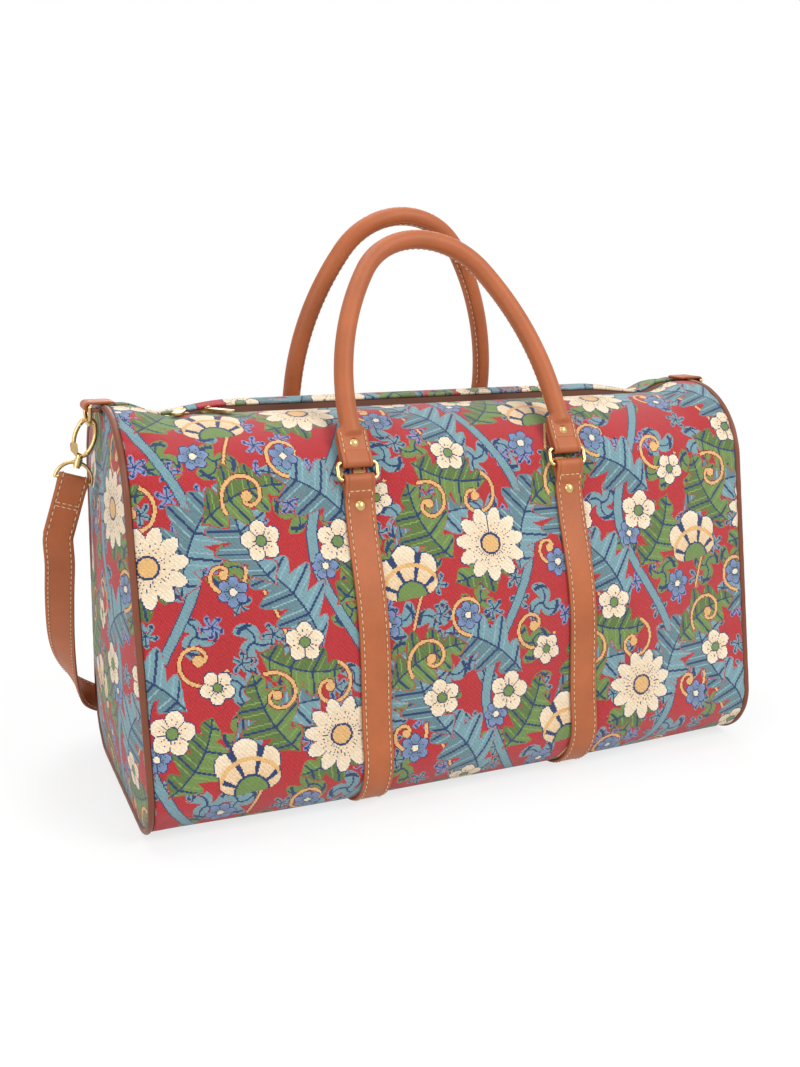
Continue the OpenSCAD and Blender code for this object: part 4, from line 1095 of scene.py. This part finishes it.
class BAG_OT_body_straps(BagOperator):
    """Leather straps round the body, with their stitches"""
    bl_idname = "bag.body_straps"
    bl_label = "Body straps"

    def make(self, sizes, colours):
        skin = shared(leather, "strap_leather", colours, sizes.strap_w, STRAP_INSET)
        flat = strap_line(sizes)
        profile = rounded(sizes.strap_w, sizes.strap_t, 0.0009)
        edge = sizes.strap_w / 2 - STRAP_INSET
        for name, x in (("left", -sizes.strap_x), ("right", sizes.strap_x)):
            line = stacked(x, flat[:, 0], flat[:, 1])
            ahead, side, normal, run = strip(name + "_strap", line, (-1.0, 0.0, 0.0), profile, skin, "bag",
                                             [name + "_body_strap"])
            shown = np.abs(run - run[-1] / 2) < run[-1] / 2 - 0.0295
            # Under the base the stitches are pressed into the leather
            level = sizes.strap_t / 2 + np.where(line[:, 2:] < sizes.base_z, -0.0006, SEWN)
            rows = [stitch_row(sizes, (line + side * s * edge + normal * level)[shown], ahead[shown],
                               normal[shown]) for s in (-1.0, 1.0)]
            for k in (np.argmax(shown), len(run) - 1 - np.argmax(shown[::-1])):
                cross = line[k] + side[k] * np.linspace(-edge, edge, 5)[:, None] + normal[k] * level[k]
                rows.append(stitch_row(sizes, cross, side[k], normal[k], 0.0, 0.0046))
            stitches(name + "_strap_stitches", sizes, colours, rows, "bag")


class BAG_OT_handles(BagOperator):
    """Rolled handles with their tabs and stitches"""
    bl_idname = "bag.handles"
    bl_label = "Handles"

    def make(self, sizes, colours):
        skin = shared(leather, "handle_leather", colours, sizes.tab_w, TAB_INSET)
        patch = shared(leather, "strap_leather", colours, sizes.strap_w, STRAP_INSET)
        for name, sign in (("front", 1.0), ("back", -1.0)):
            body = name + "_handle"
            place, turn = handle_frame(sizes, LEANS[name], sign)
            points, uv, line = handle_roll(sizes)
            piece(body + "_roll", place(points), ribbon_faces(*points.shape[:2]), skin, body,
                  [body], uv)
            rows = []
            for end, x in (("_left", -sizes.strap_x), ("_right", sizes.strap_x)):
                rows += self.tab(sizes, patch, name + end + "_tab", x, place, turn, body)
            rows += self.seam(sizes, patch, line, place, turn, body)
            stitches(body + "_stitches", sizes, colours, rows, body)

    def seam(self, sizes, skin, line, place, turn, body):
        """Turned edge of the roll's leather down its inner side, and the stitches beside it."""
        part = line[line[:, 1] > 0.042]
        ahead = unit(np.gradient(part, axis=0))
        side = stacked(ahead[:, 1], -ahead[:, 0])

        def around(angle, radius):
            """Line on the roll at an angle from its inner side towards the bag's middle."""
            flat = part + side * (radius * math.cos(angle))
            return stacked(flat[:, 0], -radius * math.sin(angle), flat[:, 1])

        points = ribbon(around(0.95, sizes.roll_r), np.array((0.0, 1.0, 0.0)), circle(0.0007, 8))[0]
        piece(body + "_welt", place(points), ribbon_faces(*points.shape[:2]), skin, body, (),
              np.full((points.size // 3, 2), sizes.strap_w / 2))
        return [stitch_row(sizes, place(around(0.72, sizes.roll_r + SEWN)),
                           turn(stacked(ahead[:, 0], 0.0, ahead[:, 1])),
                           turn(around(0.72, 1.0) - around(0.72, 0.0)))]

    def tab(self, sizes, skin, name, x, place, turn, body):
        """Tab leather: a strip that goes round the ring bar and lies against the back of the roll's
        flat end, with a rounded end; stitches run along both edges on both faces."""
        loop, leaf_t, corner = 0.0030, 0.0022, 0.0075
        a = np.linspace(math.pi, 2 * math.pi, 17)[1:-1]
        front = stacked(np.linspace(0.0021, loop, 8), np.linspace(0.009, 0.0005, 8))
        back = stacked(-loop + (loop - 0.0032) * smooth(np.linspace(0.0, 2.0, 22)),
                       np.linspace(0.0005, sizes.tab_l - 0.002, 22))
        flat = resample(np.concatenate([front, stacked(-loop * np.cos(a), loop * np.sin(a)), back]), 0.0011)
        run = lengths(flat)
        inside = np.clip(corner - (run[-1] - run), 0.0, corner)
        share = 1.0 - (corner - np.sqrt(corner ** 2 - inside ** 2)) / (sizes.tab_w / 2)
        points, uv, *_ = ribbon(stacked(x, flat[:, 0], flat[:, 1]), np.array((1.0, 0.0, 0.0)),
                                rounded(sizes.tab_w, leaf_t, 0.0008))
        points[..., 0] = x + (points[..., 0] - x) * share[:, None]
        piece(name, place(points), ribbon_faces(*points.shape[:2]), skin, body, (), uv)
        edge = sizes.tab_w / 2 - TAB_INSET
        return [stitch_row(sizes, place(stacked(x + s * edge, y, np.linspace(0.0065, top, 12))),
                           turn(np.array((0.0, 0.0, 1.0))), turn(np.array((0.0, out, 0.0))), 0.0, 0.0044)
                for s in (-1.0, 1.0) for y, out, top in ((0.0034, 1.0, 0.0255), (-0.0044, -1.0, 0.0205))]


class BAG_OT_end_tabs(BagOperator):
    """Leather tabs that carry the end rings"""
    bl_idname = "bag.end_tabs"
    bl_label = "End tabs"

    def make(self, sizes, colours):
        skin = shared(leather, "end_tab_leather", colours, END_TAB_W, END_INSET)
        half = sizes.bag_l / 2
        bar_x, loop = half + END_BAR_OUT, END_BAR_R + LOOP_GAP + END_TAB_T / 2
        rest = sizes.base_z + sizes.end_h + sizes.seat_gap + END_TAB_T / 2
        top = rest + END_BAR_R
        x = np.linspace(half - 0.007, bar_x, 20)
        over = stacked(x, rest + (top - rest) * smooth((x - half + 0.0105) / 0.006))
        a = np.linspace(math.pi / 2, -math.pi / 2, 17)[1:]
        round_bar = stacked(bar_x + loop * np.cos(a), top - loop + loop * np.sin(a))
        under = stacked(np.linspace(bar_x, half + sizes.pipe_r + 0.0012, 8)[1:], top - 2 * loop)
        flat = resample(np.concatenate([over, round_bar, under]), 0.0009)
        profile = rounded(END_TAB_W, END_TAB_T, 0.0007)
        for name, sign in (("left", -1.0), ("right", 1.0)):
            strip(name + "_tab_loop", stacked(sign * flat[:, 0], 0.0, flat[:, 1]), (0.0, -sign, 0.0), profile,
                  skin, "bag", [name + "_end_tab"])


class BAG_OT_shoulder_strap(BagOperator):
    """Shoulder strap, folded round its rings and sewn"""
    bl_idname = "bag.shoulder_strap"
    bl_label = "Shoulder strap"

    def make(self, sizes, colours):
        body = "shoulder_strap"
        skin = shared(leather, "shoulder_leather", colours, sizes.shoulder_w, TAB_INSET)
        line, wide, folded = shoulder_line(sizes)
        profile = rounded(sizes.shoulder_w, sizes.shoulder_t, 0.0008)
        ahead, side, normal, run = strip(body + "_leather", line, wide, profile, skin, body, [body])
        lift, edge = sizes.shoulder_t / 2 + SEWN, sizes.shoulder_w / 2 - TAB_INSET
        rows = []
        for s in (-1.0, 1.0):
            for out, keep in ((-1.0, slice(None)), (1.0, slice(2 * folded, len(line) - 2 * folded))):
                rows.append(stitch_row(sizes, (line + side * s * edge + normal * out * lift)[keep],
                                       ahead[keep], (normal * out)[keep], 0.002))
        # Two rows across each end, on the fold's inner layer and on its outer one
        for drop in (0.020, 0.0255, FOLD_RUN - 0.020, FOLD_RUN - 0.0255):
            for far in (run, run[-1] - run):
                k = np.argmin(np.abs(far - drop))
                cross = line[k] + side[k] * np.linspace(-edge, edge, 5)[:, None] - normal[k] * lift
                rows.append(stitch_row(sizes, cross, side[k], -normal[k], 0.0, 0.0044))
        stitches(body + "_stitches", sizes, colours, rows, body)


class BAG_OT_hardware(BagOperator):
    """Gold finish of rings, rivets and hooks"""
    bl_idname = "bag.hardware"
    bl_label = "Metal"

    def make(self, sizes, colours):
        names = ["strap_rivets", "front_handle_rivets", "back_handle_rivets"]
        names += [a + b + "_ring" for a in ("front_", "back_") for b in ("left", "right")]
        names += [a + b for a in ("left_", "right_") for b in ("d_ring", "hook", "hook_gate", "strap_ring")]
        finish_nodes(names, metal("gold_plate", colours.gold, 0.16))


class BAG_OT_lining(BagOperator):
    """Lining and base board inside the bag"""
    bl_idname = "bag.lining"
    bl_label = "Lining"

    def make(self, sizes, colours):
        finish_nodes(["lining", "left_lining_end", "right_lining_end"],
                     woven("lining_weave", colours.lining, 0.0009, 1.0))
        finish_nodes(["base_board"],
                     flecked("fibre_board", colours.board, (0.6, 1.5), (420.0, 4.0, 0.7), 0.9, (0.0003, 0.4)))


OPERATORS = (BAG_OT_stage, BAG_OT_cloth, BAG_OT_piping, BAG_OT_zip, BAG_OT_body_straps, BAG_OT_handles,
             BAG_OT_end_tabs, BAG_OT_shoulder_strap, BAG_OT_hardware, BAG_OT_lining)


class BAG_PT_panel(Panel):
    """Sidebar panel with the bag's operators, sizes and colours"""
    bl_label = "Travel bag"
    bl_space_type = "VIEW_3D"
    bl_region_type = "UI"
    bl_category = "Bag"

    def draw(self, context):
        for operator in OPERATORS:
            self.layout.operator(operator.bl_idname)
        for group in (context.scene.bag_sizes, context.scene.bag_colours):
            for name in group.__annotations__:
                self.layout.prop(group, name)


CLASSES = (BagSizes, BagColours, *OPERATORS, BAG_PT_panel)


def register():
    for cls in CLASSES:
        bpy.utils.register_class(cls)
    bpy.types.Scene.bag_sizes = PointerProperty(type=BagSizes)
    bpy.types.Scene.bag_colours = PointerProperty(type=BagColours)


def unregister():
    del bpy.types.Scene.bag_colours
    del bpy.types.Scene.bag_sizes
    for cls in reversed(CLASSES):
        bpy.utils.unregister_class(cls)


def main():
    register()
    for operator in OPERATORS:
        group, name = operator.bl_idname.split(".")
        getattr(getattr(bpy.ops, group), name)()


if __name__ == "__main__":
    main()
